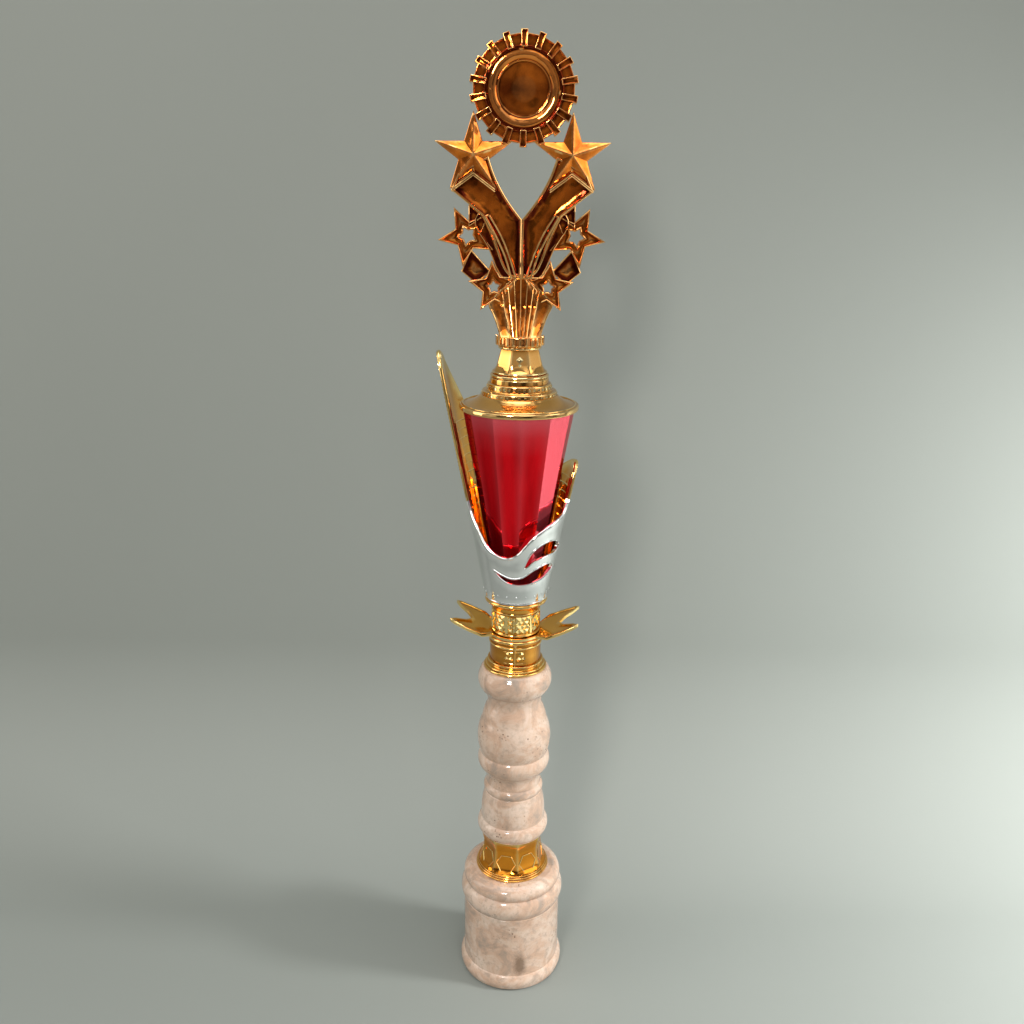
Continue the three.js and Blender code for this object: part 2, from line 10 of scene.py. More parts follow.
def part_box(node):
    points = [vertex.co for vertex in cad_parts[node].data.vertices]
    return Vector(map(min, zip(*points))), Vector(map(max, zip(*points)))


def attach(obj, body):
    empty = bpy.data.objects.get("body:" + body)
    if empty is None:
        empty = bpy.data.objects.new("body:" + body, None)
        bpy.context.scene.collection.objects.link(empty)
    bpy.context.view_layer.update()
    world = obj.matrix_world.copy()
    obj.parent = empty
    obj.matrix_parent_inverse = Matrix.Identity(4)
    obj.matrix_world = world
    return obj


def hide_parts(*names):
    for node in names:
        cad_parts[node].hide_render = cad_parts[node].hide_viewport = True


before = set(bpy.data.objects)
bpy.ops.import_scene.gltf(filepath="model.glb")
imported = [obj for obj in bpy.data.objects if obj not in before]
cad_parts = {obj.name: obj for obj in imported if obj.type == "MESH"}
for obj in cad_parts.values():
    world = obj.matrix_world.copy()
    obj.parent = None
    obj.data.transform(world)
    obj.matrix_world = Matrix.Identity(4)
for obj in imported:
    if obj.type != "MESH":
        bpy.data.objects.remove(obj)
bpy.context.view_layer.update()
mm = 0.001
seats = {name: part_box(name)[0].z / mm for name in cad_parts}


def seat(node):
    return seats[node]


def linked(name, data):
    obj = bpy.data.objects.new(name, data)
    bpy.context.scene.collection.objects.link(obj)
    return obj


camera = dict(place=(-0.0028, -0.4878, 0.43578), pitch=17.5, roll=0.78, lens=34.453, near=0.01)
room = dict(colour=(0.236, 0.257, 0.240), wallAt=0.165, bend=0.13, bendSteps=24, halfWidth=1.6, height=1.5,
            front=-1.6, below=0.001, behind=(0.33, 0.35, 0.33))


def makeCamera():
    data = bpy.data.cameras.new("camera")
    data.lens = camera["lens"]
    data.clip_start = camera["near"]
    tilt = Matrix.Rotation(math.radians(90 - camera["pitch"]), 4, "X")
    roll = Matrix.Rotation(math.radians(camera["roll"]), 4, "Z")
    obj = linked("camera", data)
    obj.matrix_world = Matrix.Translation(camera["place"]) @ tilt @ roll
    bpy.context.scene.camera = obj


def makePaper(name, points, faces, smooth):
    mesh = bpy.data.meshes.new(name)
    mesh.from_pydata(points, [], faces)
    if smooth:
        mesh.shade_smooth()
    mesh.materials.append(paperLook(name + "Paper", room["colour"]))
    linked(name, mesh)


# a sheet that runs from the floor up behind the object, over a wider floor
def makeBackdrop():
    start, bend, wide, low = room["wallAt"] - room["bend"], room["bend"], room["halfWidth"], -room["below"]
    path = [(room["front"], 0.0), (start, 0.0)]
    for i in range(1, room["bendSteps"] + 1):
        turn = math.radians(90 * i / room["bendSteps"])
        path.append((start + bend * math.sin(turn), bend * (1 - math.cos(turn))))
    path.append((room["wallAt"], room["height"]))
    points = [(side * wide, y, z) for y, z in path for side in (-1, 1)]
    faces = [(2 * i, 2 * i + 1, 2 * i + 3, 2 * i + 2) for i in range(len(path) - 1)]
    makePaper("backdrop", points, faces, True)
    makePaper("floor", [(-wide, -wide, low), (wide, -wide, low), (wide, wide, low), (-wide, wide, low)],
              [(0, 1, 2, 3)], False)


# name: (place, aim, width, height, watts, colour)
lamps = {
    "keyBox": ((-0.40, -1.25, 0.95), (0, 0, 0.27), 0.24, 0.34, 9.2, (1.0, 0.94, 0.88)),
    "rightBox": ((1.05, -0.35, 0.8), (0.0, 0, 0.3), 0.5, 0.9, 2.8, (1.0, 0.95, 0.88)),
    "leftBox": ((-0.95, -0.1, 0.55), (0, 0, 0.3), 0.4, 0.9, 2.2, (1.0, 0.92, 0.82)),
    "topBox": ((0.0, -0.35, 1.35), (0, 0, 0.3), 0.8, 0.5, 2.6, (1.0, 1.0, 0.98)),
    "frontFloor": ((0.3, -1.55, 0.8), (0.1, -1.2, 0), 0.5, 0.5, 5, (1.0, 0.95, 0.86)),
    "floorPool": ((0.6, -0.12, 0.34), (0.42, -0.02, 0), 0.1, 0.1, 5.5, (1.0, 0.99, 0.98)),
}
floorOnly = ("frontFloor", "floorPool")  # they light the paper and leave no reflection in the plating


def makeLights():
    for name, (place, aim, width, height, watts, colour) in lamps.items():
        data = bpy.data.lights.new(name, "AREA")
        data.shape = "RECTANGLE"
        data.size, data.size_y = width, height
        data.energy = watts
        data.color = colour
        facing = (Vector(aim) - Vector(place)).to_track_quat("-Z", "Y").to_matrix().to_4x4()
        obj = linked(name, data)
        obj.matrix_world = Matrix.Translation(place) @ facing
        obj.visible_glossy = name not in floorOnly


surround = dict(sky=[(0.0, (0.42, 0.42, 0.40)), (0.45, (0.40, 0.39, 0.37)), (0.6, (0.46, 0.46, 0.44)),
                     (0.75, (0.72, 0.72, 0.70)), (1.0, (0.95, 0.97, 0.98))],
                front=(0.13, 0.11, 0.09), patch=3.4, darkest=0.3, brightest=1.6, strength=0.95)


# a dim mottled room, darker in front of the object and paler above, for the plating to mirror
def makeWorld():
    world = bpy.data.worlds.new("studio")
    bpy.context.scene.world = world
    world.use_nodes = True
    tree = world.node_tree
    tree.nodes.clear()
    coords = add(tree, "ShaderNodeTexCoord").outputs["Generated"]
    split = add(tree, "ShaderNodeSeparateXYZ", {0: coords}).outputs
    sky = ramped(tree, ranged(tree, split["Z"], -1.0, 1.0), surround["sky"])
    ahead, below = ranged(tree, split["Y"], -0.55, -0.92), ranged(tree, split["Z"], 0.55, 0.25)
    darkened = mixed(tree, sky, surround["front"], calculated(tree, "MULTIPLY", ahead, below))
    patches = noise(tree, coords, surround["patch"], detail=1.0, distortion=0.5)
    contrast = ranged(tree, patches, 0.42, 0.6, surround["darkest"], surround["brightest"])
    mirrored = mixed(tree, darkened, contrast, 1.0, "MULTIPLY")
    seen = add(tree, "ShaderNodeLightPath").outputs["Is Camera Ray"]
    back = add(tree, "ShaderNodeBackground", {"Color": mixed(tree, mirrored, room["behind"], seen),
                                              "Strength": surround["strength"]})
    add(tree, "ShaderNodeOutputWorld", {"Surface": back.outputs[0]})
    # the plain transform keeps the plating as saturated as its base colours
    bpy.context.scene.view_settings.view_transform = "Standard"


# sets a node's inputs: a socket is linked, anything else is set as its value
def plug(tree, node, inputs):
    for key, value in inputs.items():
        if isinstance(value, bpy.types.NodeSocket):
            tree.links.new(value, node.inputs[key])
        else:
            node.inputs[key].default_value = value


def add(tree, kind, inputs=None, **settings):
    node = tree.nodes.new(kind)
    for key, value in settings.items():
        setattr(node, key, value)
    plug(tree, node, inputs or {})
    return node


def calculated(tree, operation, *values):
    return add(tree, "ShaderNodeMath", dict(enumerate(values)), operation=operation).outputs[0]


def ranged(tree, value, low, high, toLow=0.0, toHigh=1.0):
    return add(tree, "ShaderNodeMapRange", {"Value": value, "From Min": low, "From Max": high,
                                            "To Min": toLow, "To Max": toHigh}).outputs[0]


def noise(tree, place, scale, **more):
    named = {key.capitalize(): value for key, value in more.items()}
    return add(tree, "ShaderNodeTexNoise", {"Vector": place, "Scale": scale, **named}).outputs[0]


# a colour ramp over stops of [place, colour]
def ramped(tree, value, stops):
    node = add(tree, "ShaderNodeValToRGB", {"Fac": value})
    ramp = node.color_ramp
    while len(ramp.elements) < len(stops):
        ramp.elements.new(0.5)
    for element, (place, colour) in zip(ramp.elements, stops):
        element.position = place
        element.color = (*colour, 1.0)
    return node.outputs[0]


def mixed(tree, first, second, factor, blend="MIX"):
    first, second = ((*value, 1.0) if isinstance(value, tuple) else value for value in (first, second))
    return add(tree, "ShaderNodeMix", {0: factor, 6: first, 7: second}, data_type="RGBA",
               blend_type=blend).outputs[2]


def newGroup(name, inputs, outputs, kind="ShaderNodeTree"):
    tree = bpy.data.node_groups.new(name, kind)
    for label, socketType, value in inputs:
        socket = tree.interface.new_socket(label, in_out="INPUT", socket_type=socketType)
        if value is not None:
            socket.default_value = value
    for label, socketType in outputs:
        tree.interface.new_socket(label, in_out="OUTPUT", socket_type=socketType)
    return tree, add(tree, "NodeGroupInput").outputs, add(tree, "NodeGroupOutput")


number, vector, colourSocket = "NodeSocketFloat", "NodeSocketVector", "NodeSocketColor"


# slow swells and fine ripples left by the mould, as a bump height
def makeWaviness():
    tree, given, result = newGroup("castWaviness", [
        ("Vector", vector, None), ("Swell", number, 60.0), ("Ripple", number, 400.0),
        ("Ripple share", number, 0.2)], [("Height", number)])
    swell = noise(tree, given["Vector"], given["Swell"], detail=1.0)
    ripple = noise(tree, given["Vector"], given["Ripple"], detail=2.0)
    fine = calculated(tree, "MULTIPLY", ripple, given["Ripple share"])
    plug(tree, result, {"Height": calculated(tree, "ADD", swell, fine)})
    return tree


# cloudy patches where fingers and polish left the surface a little duller
def makeHandling():
    tree, given, result = newGroup("handling", [
        ("Vector", vector, None), ("Scale", number, 35.0), ("Clean", number, 0.08),
        ("Smudged", number, 0.22)], [("Roughness", number)])
    cloud = noise(tree, given["Vector"], given["Scale"], detail=5.0, roughness=0.6, distortion=0.6)
    spread = ranged(tree, cloud, 0.42, 0.72)
    plug(tree, result, {"Roughness": ranged(tree, spread, 0.0, 1.0, given["Clean"], given["Smudged"])})
    return tree


# painted highlight on ridges and painted shade in the hollows, picked by pointiness, and noise patches of
# painted dark reflection over the rest
def makePaintedEdgeLight():
    tree, given, result = newGroup("paintedEdgeLight", [
        ("Vector", vector, None), ("Middle", colourSocket, None), ("Highlight", colourSocket, None),
        ("Hollow", colourSocket, None), ("Reach", number, 0.06), ("Painted patch scale", number, 50.0),
        ("Painted patch shade", number, 0.45)], [("Colour", colourSocket)])
    level = 0.5  # the pointiness of a flat surface
    bend = add(tree, "ShaderNodeNewGeometry").outputs["Pointiness"]
    highlight = ranged(tree, bend, level, calculated(tree, "ADD", level, given["Reach"]))
    hollow = ranged(tree, bend, level, calculated(tree, "SUBTRACT", level, given["Reach"]))
    # noise patches darkened towards the shade colour are painted dark reflections on the flat faces
    patch = noise(tree, given["Vector"], given["Painted patch scale"], detail=3.0)
    base = mixed(tree, given["Middle"], given["Hollow"], ranged(tree, patch, 0.4, 0.75, 0.0, given["Painted patch shade"]))
    # hollows get the painted shade colour and ridges the painted highlight colour
    deep = mixed(tree, base, given["Hollow"], hollow)
    plug(tree, result, {"Colour": mixed(tree, deep, given["Highlight"], highlight)})
    return tree


# each flat side of a turned piece gets its own painted brightness, standing in for the reflection it catches,
# and a few sides get a painted pink highlight
def makePaintedFacetLight():
    tree, given, result = newGroup("paintedFacetLight", [
        ("Vector", vector, None), ("Sides", number, 12.0), ("Corner", number, 0.0),
        ("Seed", number, 0.0)], [("Colour", colourSocket), ("Lit facet", number)])
    split = add(tree, "ShaderNodeSeparateXYZ", {0: given["Vector"]}).outputs
    angle = calculated(tree, "ARCTAN2", split["X"], calculated(tree, "MULTIPLY", split["Y"], -1.0))
    past = calculated(tree, "SUBTRACT", angle, given["Corner"])
    turns = calculated(tree, "ADD", calculated(tree, "MULTIPLY", past, 1 / (2 * math.pi)), 1.0)
    counted = calculated(tree, "MULTIPLY", calculated(tree, "FRACT", turns), given["Sides"])
    seeded = calculated(tree, "ADD", calculated(tree, "FLOOR", counted), given["Seed"])
    chance = add(tree, "ShaderNodeTexWhiteNoise", {"W": seeded}, noise_dimensions="1D").outputs[0]
    tone = ramped(tree, chance, [(0.0, (0.42, 0.3, 0.35)), (0.42, (0.74, 0.7, 0.7)), (0.6, (1.0, 1.0, 1.0))])
    plug(tree, result, {"Colour": tone, "Lit facet": ranged(tree, chance, 0.88, 0.95, 0.0, 0.8)})
    return tree


groups = {"castWaviness": makeWaviness(), "handling": makeHandling(), "paintedEdgeLight": makePaintedEdgeLight(),
          "paintedFacetLight": makePaintedFacetLight()}


def grouped(tree, name, inputs):
    return add(tree, "ShaderNodeGroup", inputs, node_tree=groups[name]).outputs


def newMaterial(name):
    material = bpy.data.materials.new(name)
    material.use_nodes = True
    tree = material.node_tree
    return material, tree, tree.nodes["Principled BSDF"], add(tree, "ShaderNodeTexCoord").outputs["Object"]


def bumped(tree, height, distance, strength=1.0):
    return add(tree, "ShaderNodeBump", {"Height": height, "Strength": strength,
                                        "Distance": distance * mm}).outputs["Normal"]


# each plating lists its plain colour, the painted highlight colour for its edges and the painted shade colour
# for its recesses
plating = {
    "goldPlating": dict(middle=(1.0, 0.52, 0.10), highlight=(1.0, 0.74, 0.30), hollow=(0.52, 0.18, 0.02),
                        clean=0.05, smudged=0.14, swell=90, ripple=700, depth=0.10, coat=0.12),
    "collarPlating": dict(middle=(0.98, 0.36, 0.03), highlight=(1.0, 0.72, 0.26), hollow=(0.52, 0.16, 0.01),
                          clean=0.04, smudged=0.12, swell=70, ripple=600, depth=0.08, coat=0.12),
    "paleGoldPlating": dict(middle=(1.0, 0.54, 0.16), highlight=(1.0, 0.80, 0.40), hollow=(0.62, 0.29, 0.06),
                            clean=0.07, smudged=0.18, swell=80, ripple=800, depth=0.08, coat=0.12),
    # amber and red below darken their flats in strong noise patches, a painted reflection
    "amberPlating": dict(middle=(0.99, 0.27, 0.03), highlight=(1.0, 0.58, 0.22), hollow=(0.13, 0.012, 0.002),
                         clean=0.05, smudged=0.12, swell=120, ripple=500, depth=0.6, coat=0.05,
                         reach=0.03, patch=75.0, paintedPatchShade=0.85, metal=0.94),
    "silverPlating": dict(middle=(0.80, 0.81, 0.81), highlight=(0.98, 0.98, 0.98), hollow=(0.55, 0.55, 0.55),
                          clean=0.09, smudged=0.2, swell=90, ripple=900, depth=0.06, coat=0.1),
    # the red's sides, corner and seed pick a painted brightness for each facet, and thin is the pink of the
    # painted highlight on a few of them
    "redPlating": dict(middle=(0.92, 0.008, 0.016), highlight=(1.0, 0.16, 0.20), hollow=(0.40, 0.002, 0.004),
                       clean=0.05, smudged=0.13, swell=170, ripple=500, depth=0.10, coat=0.0, stretch=0.05,
                       patch=130.0, paintedPatchShade=0.7, metal=0.85, edge=(1.0, 0.22, 0.26), sides=12, corner=3,
                       seed=14, thin=(1.0, 0.17, 0.22)),
}
# what a plating has unless it says otherwise
platingRest = dict(stretch=1.0, reach=0.06, patch=50.0, paintedPatchShade=0.45, metal=1.0, edge=(1.0, 1.0, 1.0),
                   rippleShare=0.06, coatRough=0.04)


def platingLook(name):
    spec = {**platingRest, **plating[name]}
    material, tree, shader, coords = newMaterial(name)
    scale = (1.0, 1.0, spec["stretch"])
    place = add(tree, "ShaderNodeMapping", {"Vector": coords, "Scale": scale}).outputs[0]
    # edges and hollows get painted highlight and shade, and flats get patches of painted dark reflection
    tones = {label: (*spec[label.lower()], 1.0) for label in ("Middle", "Highlight", "Hollow")}
    colour = grouped(tree, "paintedEdgeLight", {"Vector": place, "Painted patch scale": spec["patch"], "Painted patch shade": spec["paintedPatchShade"],
                                        "Reach": spec["reach"], **tones})["Colour"]
    smudge = grouped(tree, "handling", {"Vector": place, "Clean": spec["clean"], "Smudged": spec["smudged"]})
    waves = grouped(tree, "castWaviness", {"Vector": place, "Swell": spec["swell"], "Ripple": spec["ripple"],
                                           "Ripple share": spec["rippleShare"]})
    # the red cup's flat sides each get a painted brightness and a few a pink painted highlight, in place of
    # reflections
    if "sides" in spec:
        paintedFacets = grouped(tree, "paintedFacetLight", {"Vector": coords, "Sides": spec["sides"], "Seed": spec["seed"],
                                           "Corner": math.radians(spec["corner"])})
        colour = mixed(tree, colour, paintedFacets["Colour"], 1.0, "MULTIPLY")
        colour = mixed(tree, colour, spec["thin"], paintedFacets["Lit facet"])
    plug(tree, shader, {
        "Base Color": colour, "Roughness": smudge["Roughness"], "Metallic": spec["metal"],
        "Normal": bumped(tree, waves["Height"], spec["depth"]), "Specular Tint": (*spec["edge"], 1.0),
        "Coat Weight": spec["coat"], "Coat Roughness": spec["coatRough"]})
    return material


stoneSpec = dict(
    pale=(0.56, 0.42, 0.33), warm=(0.51, 0.345, 0.25), grey=(0.33, 0.26, 0.21), palest=(0.64, 0.53, 0.45),
    veinColour=(0.24, 0.16, 0.11), pitColour=(0.13, 0.08, 0.05), stain=(0.15, 0.095, 0.06),
    cloud=62.0, speck=240.0, vein=22.0, veinWide=0.012, veinDark=0.14, pore=420.0, poreGate=55.0,
    pitDeep=-1.2, ragged=330.0, stainDark=0.8, clean=0.10, smudged=0.26, swell=120, depth=0.12, coat=0.35,
    coatRough=0.06)


def stoneLook(name, seed, cloudy, darkPatch):
    spec = stoneSpec
    material, tree, shader, coords = newMaterial(name)
    place = add(tree, "ShaderNodeMapping", {"Vector": coords, "Location": seed}).outputs[0]
    cloud = noise(tree, place, spec["cloud"], detail=8.0, roughness=0.68, distortion=0.7)
    body = ramped(tree, cloud, [(0.33, spec["grey"]), (0.45, spec["warm"]), (0.54, spec["pale"]),
                                (0.75, spec["palest"])])
    speck = noise(tree, place, spec["speck"], detail=4.0, roughness=0.7)
    mottled = mixed(tree, body, spec["grey"], ranged(tree, speck, 0.50, 0.68, 0.0, cloudy))
    warp = noise(tree, place, spec["vein"], detail=4.0, distortion=1.8)
    near = calculated(tree, "ABSOLUTE", calculated(tree, "SUBTRACT", warp, 0.5))
    veins = ranged(tree, near, spec["veinWide"], 0.0, 0.0, spec["veinDark"])
    veined = mixed(tree, mottled, spec["veinColour"], veins)
    pores = add(tree, "ShaderNodeTexVoronoi", {"Vector": place, "Scale": spec["pore"]}).outputs["Distance"]
    gate = ranged(tree, noise(tree, place, spec["poreGate"], detail=2.0), 0.56, 0.68)
    pits = calculated(tree, "MULTIPLY", ranged(tree, pores, 0.22, 0.12), gate)
    colour = mixed(tree, veined, spec["pitColour"], pits)
    if darkPatch:
        offset = add(tree, "ShaderNodeVectorMath", {0: coords, 1: darkPatch["at"]}, operation="SUBTRACT")
        stretch = add(tree, "ShaderNodeVectorMath", {0: offset.outputs[0], 1: darkPatch["size"]},
                      operation="DIVIDE")
        away = add(tree, "ShaderNodeVectorMath", {0: stretch.outputs[0]}, operation="LENGTH")
        ragged = noise(tree, coords, spec["ragged"], detail=6.0, roughness=0.8)
        torn = calculated(tree, "ADD", away.outputs["Value"], ragged)
        colour = mixed(tree, colour, spec["stain"], ranged(tree, torn, 1.5, 0.9, 0.0, spec["stainDark"]))
    smudge = grouped(tree, "handling", {"Vector": place, "Clean": spec["clean"], "Smudged": spec["smudged"]})
    waves = grouped(tree, "castWaviness", {"Vector": place, "Swell": spec["swell"]})
    sunk = calculated(tree, "MULTIPLY_ADD", pits, spec["pitDeep"], waves["Height"])
    plug(tree, shader, {
        "Base Color": colour, "Roughness": smudge["Roughness"], "Normal": bumped(tree, sunk, spec["depth"]),
        "Coat Weight": spec["coat"], "Coat Roughness": spec["coatRough"]})
    return material


metals = {
    "zincSteel": dict(bright=(0.62, 0.63, 0.64), dark=(0.40, 0.41, 0.42), grain=500.0),
    "turnedBrass": dict(bright=(0.72, 0.53, 0.26), dark=(0.50, 0.35, 0.15), grain=600.0),
}


def metalLook(name):
    spec = metals[name]
    material, tree, shader, place = newMaterial(name)
    grain = noise(tree, place, spec["grain"], detail=5.0, roughness=0.7)
    smudge = grouped(tree, "handling", {"Vector": place, "Clean": 0.25, "Smudged": 0.45})
    plug(tree, shader, {
        "Base Color": mixed(tree, spec["dark"], spec["bright"], grain), "Roughness": smudge["Roughness"],
        "Normal": bumped(tree, grain, 0.03), "Metallic": 1.0})
    return material


feltSpec = dict(dark=(0.010, 0.035, 0.018), light=(0.035, 0.085, 0.048), worn=(0.05, 0.07, 0.05),
                hair=1800.0, cloud=120.0, depth=0.15, rough=0.95, sheen=0.3)


def feltLook():
    spec = feltSpec
    material, tree, shader, place = newMaterial("greenFelt")
    stretch = add(tree, "ShaderNodeMapping", {"Vector": place, "Scale": (1.0, 0.35, 1.0)}).outputs[0]
    hairs = noise(tree, stretch, spec["hair"], detail=4.0, distortion=2.5)
    cloud = noise(tree, place, spec["cloud"], detail=3.0)
    tone = mixed(tree, spec["dark"], spec["light"], hairs)
    plug(tree, shader, {
        "Base Color": mixed(tree, tone, spec["worn"], ranged(tree, cloud, 0.5, 0.8, 0.0, 0.5)),
        "Normal": bumped(tree, hairs, spec["depth"]), "Roughness": spec["rough"],
        "Sheen Weight": spec["sheen"]})
    return material


paperSpec = dict(fibre=900.0, cloud=3.0, shade=0.93, depth=0.05, strength=0.4, rough=0.75)


# paper that is clear from its back, so that the object shows from every side
def paperLook(name, colour):
    spec = paperSpec
    material, tree, shader, place = newMaterial(name)
    fibre = noise(tree, place, spec["fibre"], detail=3.0)
    cloud = noise(tree, place, spec["cloud"], detail=2.0)
    plug(tree, shader, {
        "Base Color": mixed(tree, tuple(spec["shade"] * c for c in colour), colour, cloud),
        "Normal": bumped(tree, fibre, spec["depth"], spec["strength"]), "Roughness": spec["rough"]})
    behind = add(tree, "ShaderNodeNewGeometry").outputs["Backfacing"]
    clear = add(tree, "ShaderNodeBsdfTransparent").outputs[0]
    shown = add(tree, "ShaderNodeMixShader", {0: behind, 1: shader.outputs[0], 2: clear})
    plug(tree, tree.nodes["Material Output"], {"Surface": shown.outputs[0]})
    return material


looks = {name: platingLook(name) for name in plating}
print("materials made")


# a lathe outline drawn like a pen, from [radius, height] to the next
class Profile:
    def __init__(self, r, z):
        self.points = [(r, z)]

    def line(self, r, z):
        self.points.append((r, z))
        return self

    # a round stretch that bows outwards by swell at its middle, or inwards where swell is negative
    def arc(self, r, z, swell, steps=10):
        r0, z0 = self.points[-1]
        half = math.hypot(r - r0, z - z0) / 2
        along = ((r - r0) / half / 2, (z - z0) / half / 2)
        out = (along[1], -along[0])
        radius = (half * half + swell * swell) / (2 * swell)
        centre = ((r + r0) / 2 + out[0] * (swell - radius), (z + z0) / 2 + out[1] * (swell - radius))
        opening = 2 * math.atan(swell / half)
        for i in range(1, steps + 1):
            turn = opening * (2 * i / steps - 1)
            self.points.append((centre[0] + radius * (out[0] * math.cos(turn) + along[0] * math.sin(turn)),
                                centre[1] + radius * (out[1] * math.cos(turn) + along[1] * math.sin(turn))))
        return self

    # a bead standing out of the wall, half round
    def bead(self, r, z, steps=8):
        r0, z0 = self.points[-1]
        return self.arc(r, z, math.hypot(r - r0, z - z0) / 2, steps)


def lifted(points, height):
    return [(r, z + height) for r, z in points]


def meshOf(points, faces, sharp=30):
    mesh = bpy.data.meshes.new("part")
    mesh.from_pydata([Vector(p) * mm for p in points], [], faces)
    return tidied(mesh, sharp)


# doubles merged, faces turned outwards, smooth except across its creases
def tidied(mesh, sharp=30):
    work = bmesh.new()
    work.from_mesh(mesh)
    bmesh.ops.remove_doubles(work, verts=work.verts, dist=0.001 * mm)
    bmesh.ops.dissolve_degenerate(work, edges=work.edges, dist=0.0002 * mm)
    bmesh.ops.recalc_face_normals(work, faces=work.faces)
    work.to_mesh(mesh)
    work.free()
    mesh.shade_smooth()
    mesh.set_sharp_from_angle(angle=math.radians(sharp))
    return mesh


def around(radius, angle, z):
    return (radius * math.sin(angle), -radius * math.cos(angle), z)


# spins a closed outline about Z; angles run from the front towards the right
def turned(outline, segments=144, section=None, angles=None, sharp=30):
    angles = angles or [2 * math.pi * i / segments for i in range(segments)]
    rows = len(outline)
    points, faces = [], []
    for angle in angles:
        scale = section(angle) if section else 1
        for r, z, *share in outline:
            stretch = 1 + share[0] * (scale - 1) if share else 1
            points.append(around(r * stretch, angle, z))
    for i in range(len(angles)):
        after = (i + 1) % len(angles)
        for k in range(rows):
            up = (k + 1) % rows
            faces.append((i * rows + k, after * rows + k, after * rows + up, i * rows + up))
    return meshOf(points, faces, sharp)


# radius of a flat-sided section, as a share of its corner radius; blunt rounds the corners off
def flatSided(sides, corner, blunt=1.0):
    pitch = 2 * math.pi / sides

    def section(angle):
        off = (angle - corner) % pitch - pitch / 2
        return min(blunt, math.cos(pitch / 2) / math.cos(off))
    return section


def flatSidedAngles(sides, corner, perSide, blunt=1.0):
    pitch = 2 * math.pi / sides
    edge = pitch / 2 - math.acos(min(1.0, math.cos(pitch / 2) / blunt)) if blunt < 1 else 0.0
    found = []
    for side in range(sides):
        start = corner + side * pitch
        if edge:
            found.append(start)
        for k in range(perSide + 1 if edge else perSide):
            found.append(start + edge + (pitch - 2 * edge) * k / perSide)
    return found


# a loop of [x, z] moved towards its inside; loops run anticlockwise, and holes clockwise
def inset(loop, distance):
    moved = []
    count = len(loop)
    for i in range(count):
        before, here, after = (Vector(loop[j % count]) for j in (i - 1, i, i + 1))
        first = (here - before).normalized()
        second = (after - here).normalized()
        n1, n2 = Vector((-first.y, first.x)), Vector((-second.y, second.x))
        stretch = max(0.25, 1 + n1.dot(n2))
        moved.append(tuple(here + (n1 + n2) * distance / stretch))
    return moved


def smoothThrough(points, steps=6, closed=False):
    count = len(points)
    found = []
    for i in range(count if closed else count - 1):
        p = []
        for j in (i - 1, i, i + 1, i + 2):
            j = j % count if closed else min(max(j, 0), count - 1)
            p.append(Vector(points[j]))
        for k in range(steps):
            t = k / steps
            square, cube = 2 * p[0] - 5 * p[1] + 4 * p[2] - p[3], 3 * p[1] - p[0] - 3 * p[2] + p[3]
            found.append(tuple(0.5 * (2 * p[1] + (p[2] - p[0]) * t + square * t * t + cube * t ** 3)))
    if not closed:
        found.append(tuple(points[-1]))
    return found


def edgeDistance(points, loops):
    best = numpy.full(len(points), 1e9)
    for loop in loops:
        a = numpy.array(loop, float)
        b = numpy.roll(a, -1, axis=0)
        for start, end in zip(a, b):
            along = end - start
            t = numpy.clip(((points - start) @ along) / max(along @ along, 1e-12), 0, 1)
            best = numpy.minimum(best, numpy.linalg.norm(points - start - t[:, None] * along, axis=1))
    return best


def within(points, loops):
    inside = numpy.zeros(len(points), bool)
    for loop in loops:
        a = numpy.array(loop, float)
        for start, end in zip(a, numpy.roll(a, -1, axis=0)):
            crosses = (start[1] > points[:, 1]) != (end[1] > points[:, 1])
            rise = end[1] - start[1] if abs(end[1] - start[1]) > 1e-12 else 1e-12
            crossing = (end[0] - start[0]) * (points[:, 1] - start[1]) / rise + start[0]
            inside ^= crosses & (points[:, 0] < crossing)
    return inside


# triangles over a flat plan with holes; its loops are kept as edges, at each of the insets too
def planTriangles(loops, insets, spacing):
    points, edges = [], []
    for distance in insets:
        for loop in loops:
            ring = inset(loop, distance) if distance else list(loop)
            first = len(points)
            points.extend(ring)
            edges.extend((first + i, first + (i + 1) % len(ring)) for i in range(len(ring)))
    outline = numpy.array(loops[0], float)
    low, high = outline.min(0), outline.max(0)
    across, row = numpy.arange(low[0], high[0], spacing), 0
    grid = []
    for z in numpy.arange(low[1], high[1], spacing * 0.866):
        grid.extend((x + (row % 2) * spacing / 2, z) for x in across)
        row += 1
    grid = numpy.array(grid, float)
    keep = within(grid, loops) & (edgeDistance(grid, loops) > max(insets) + spacing * 0.5)
    points.extend(map(tuple, grid[keep]))
    flat, _, faces, *_ = geometry.delaunay_2d_cdt([Vector(p) for p in points], edges, [], 0, 1e-5)
    flat = numpy.array([tuple(p) for p in flat], float)
    middles = numpy.array([flat[list(f)].mean(0) for f in faces])
    inside = within(middles, loops)
    return flat, [tuple(f) for f, ok in zip(faces, inside) if ok]


# closes the front and back of a plan into one solid, with walls along its open edges
def closedPlan(front, back, faces, seam=None, sharp=30):
    count = len(front)
    used = {(face[i], face[(i + 1) % 3]) for face in faces for i in range(3)}
    outer = [(a, b) for a, b in used if (b, a) not in used and not (seam and seam(a) and seam(b))]
    walls = [(a, b, b + count, a + count) for a, b in outer]
    behind = [tuple(i + count for i in reversed(face)) for face in faces]
    return meshOf(list(front) + list(back), list(faces) + behind + walls, sharp)


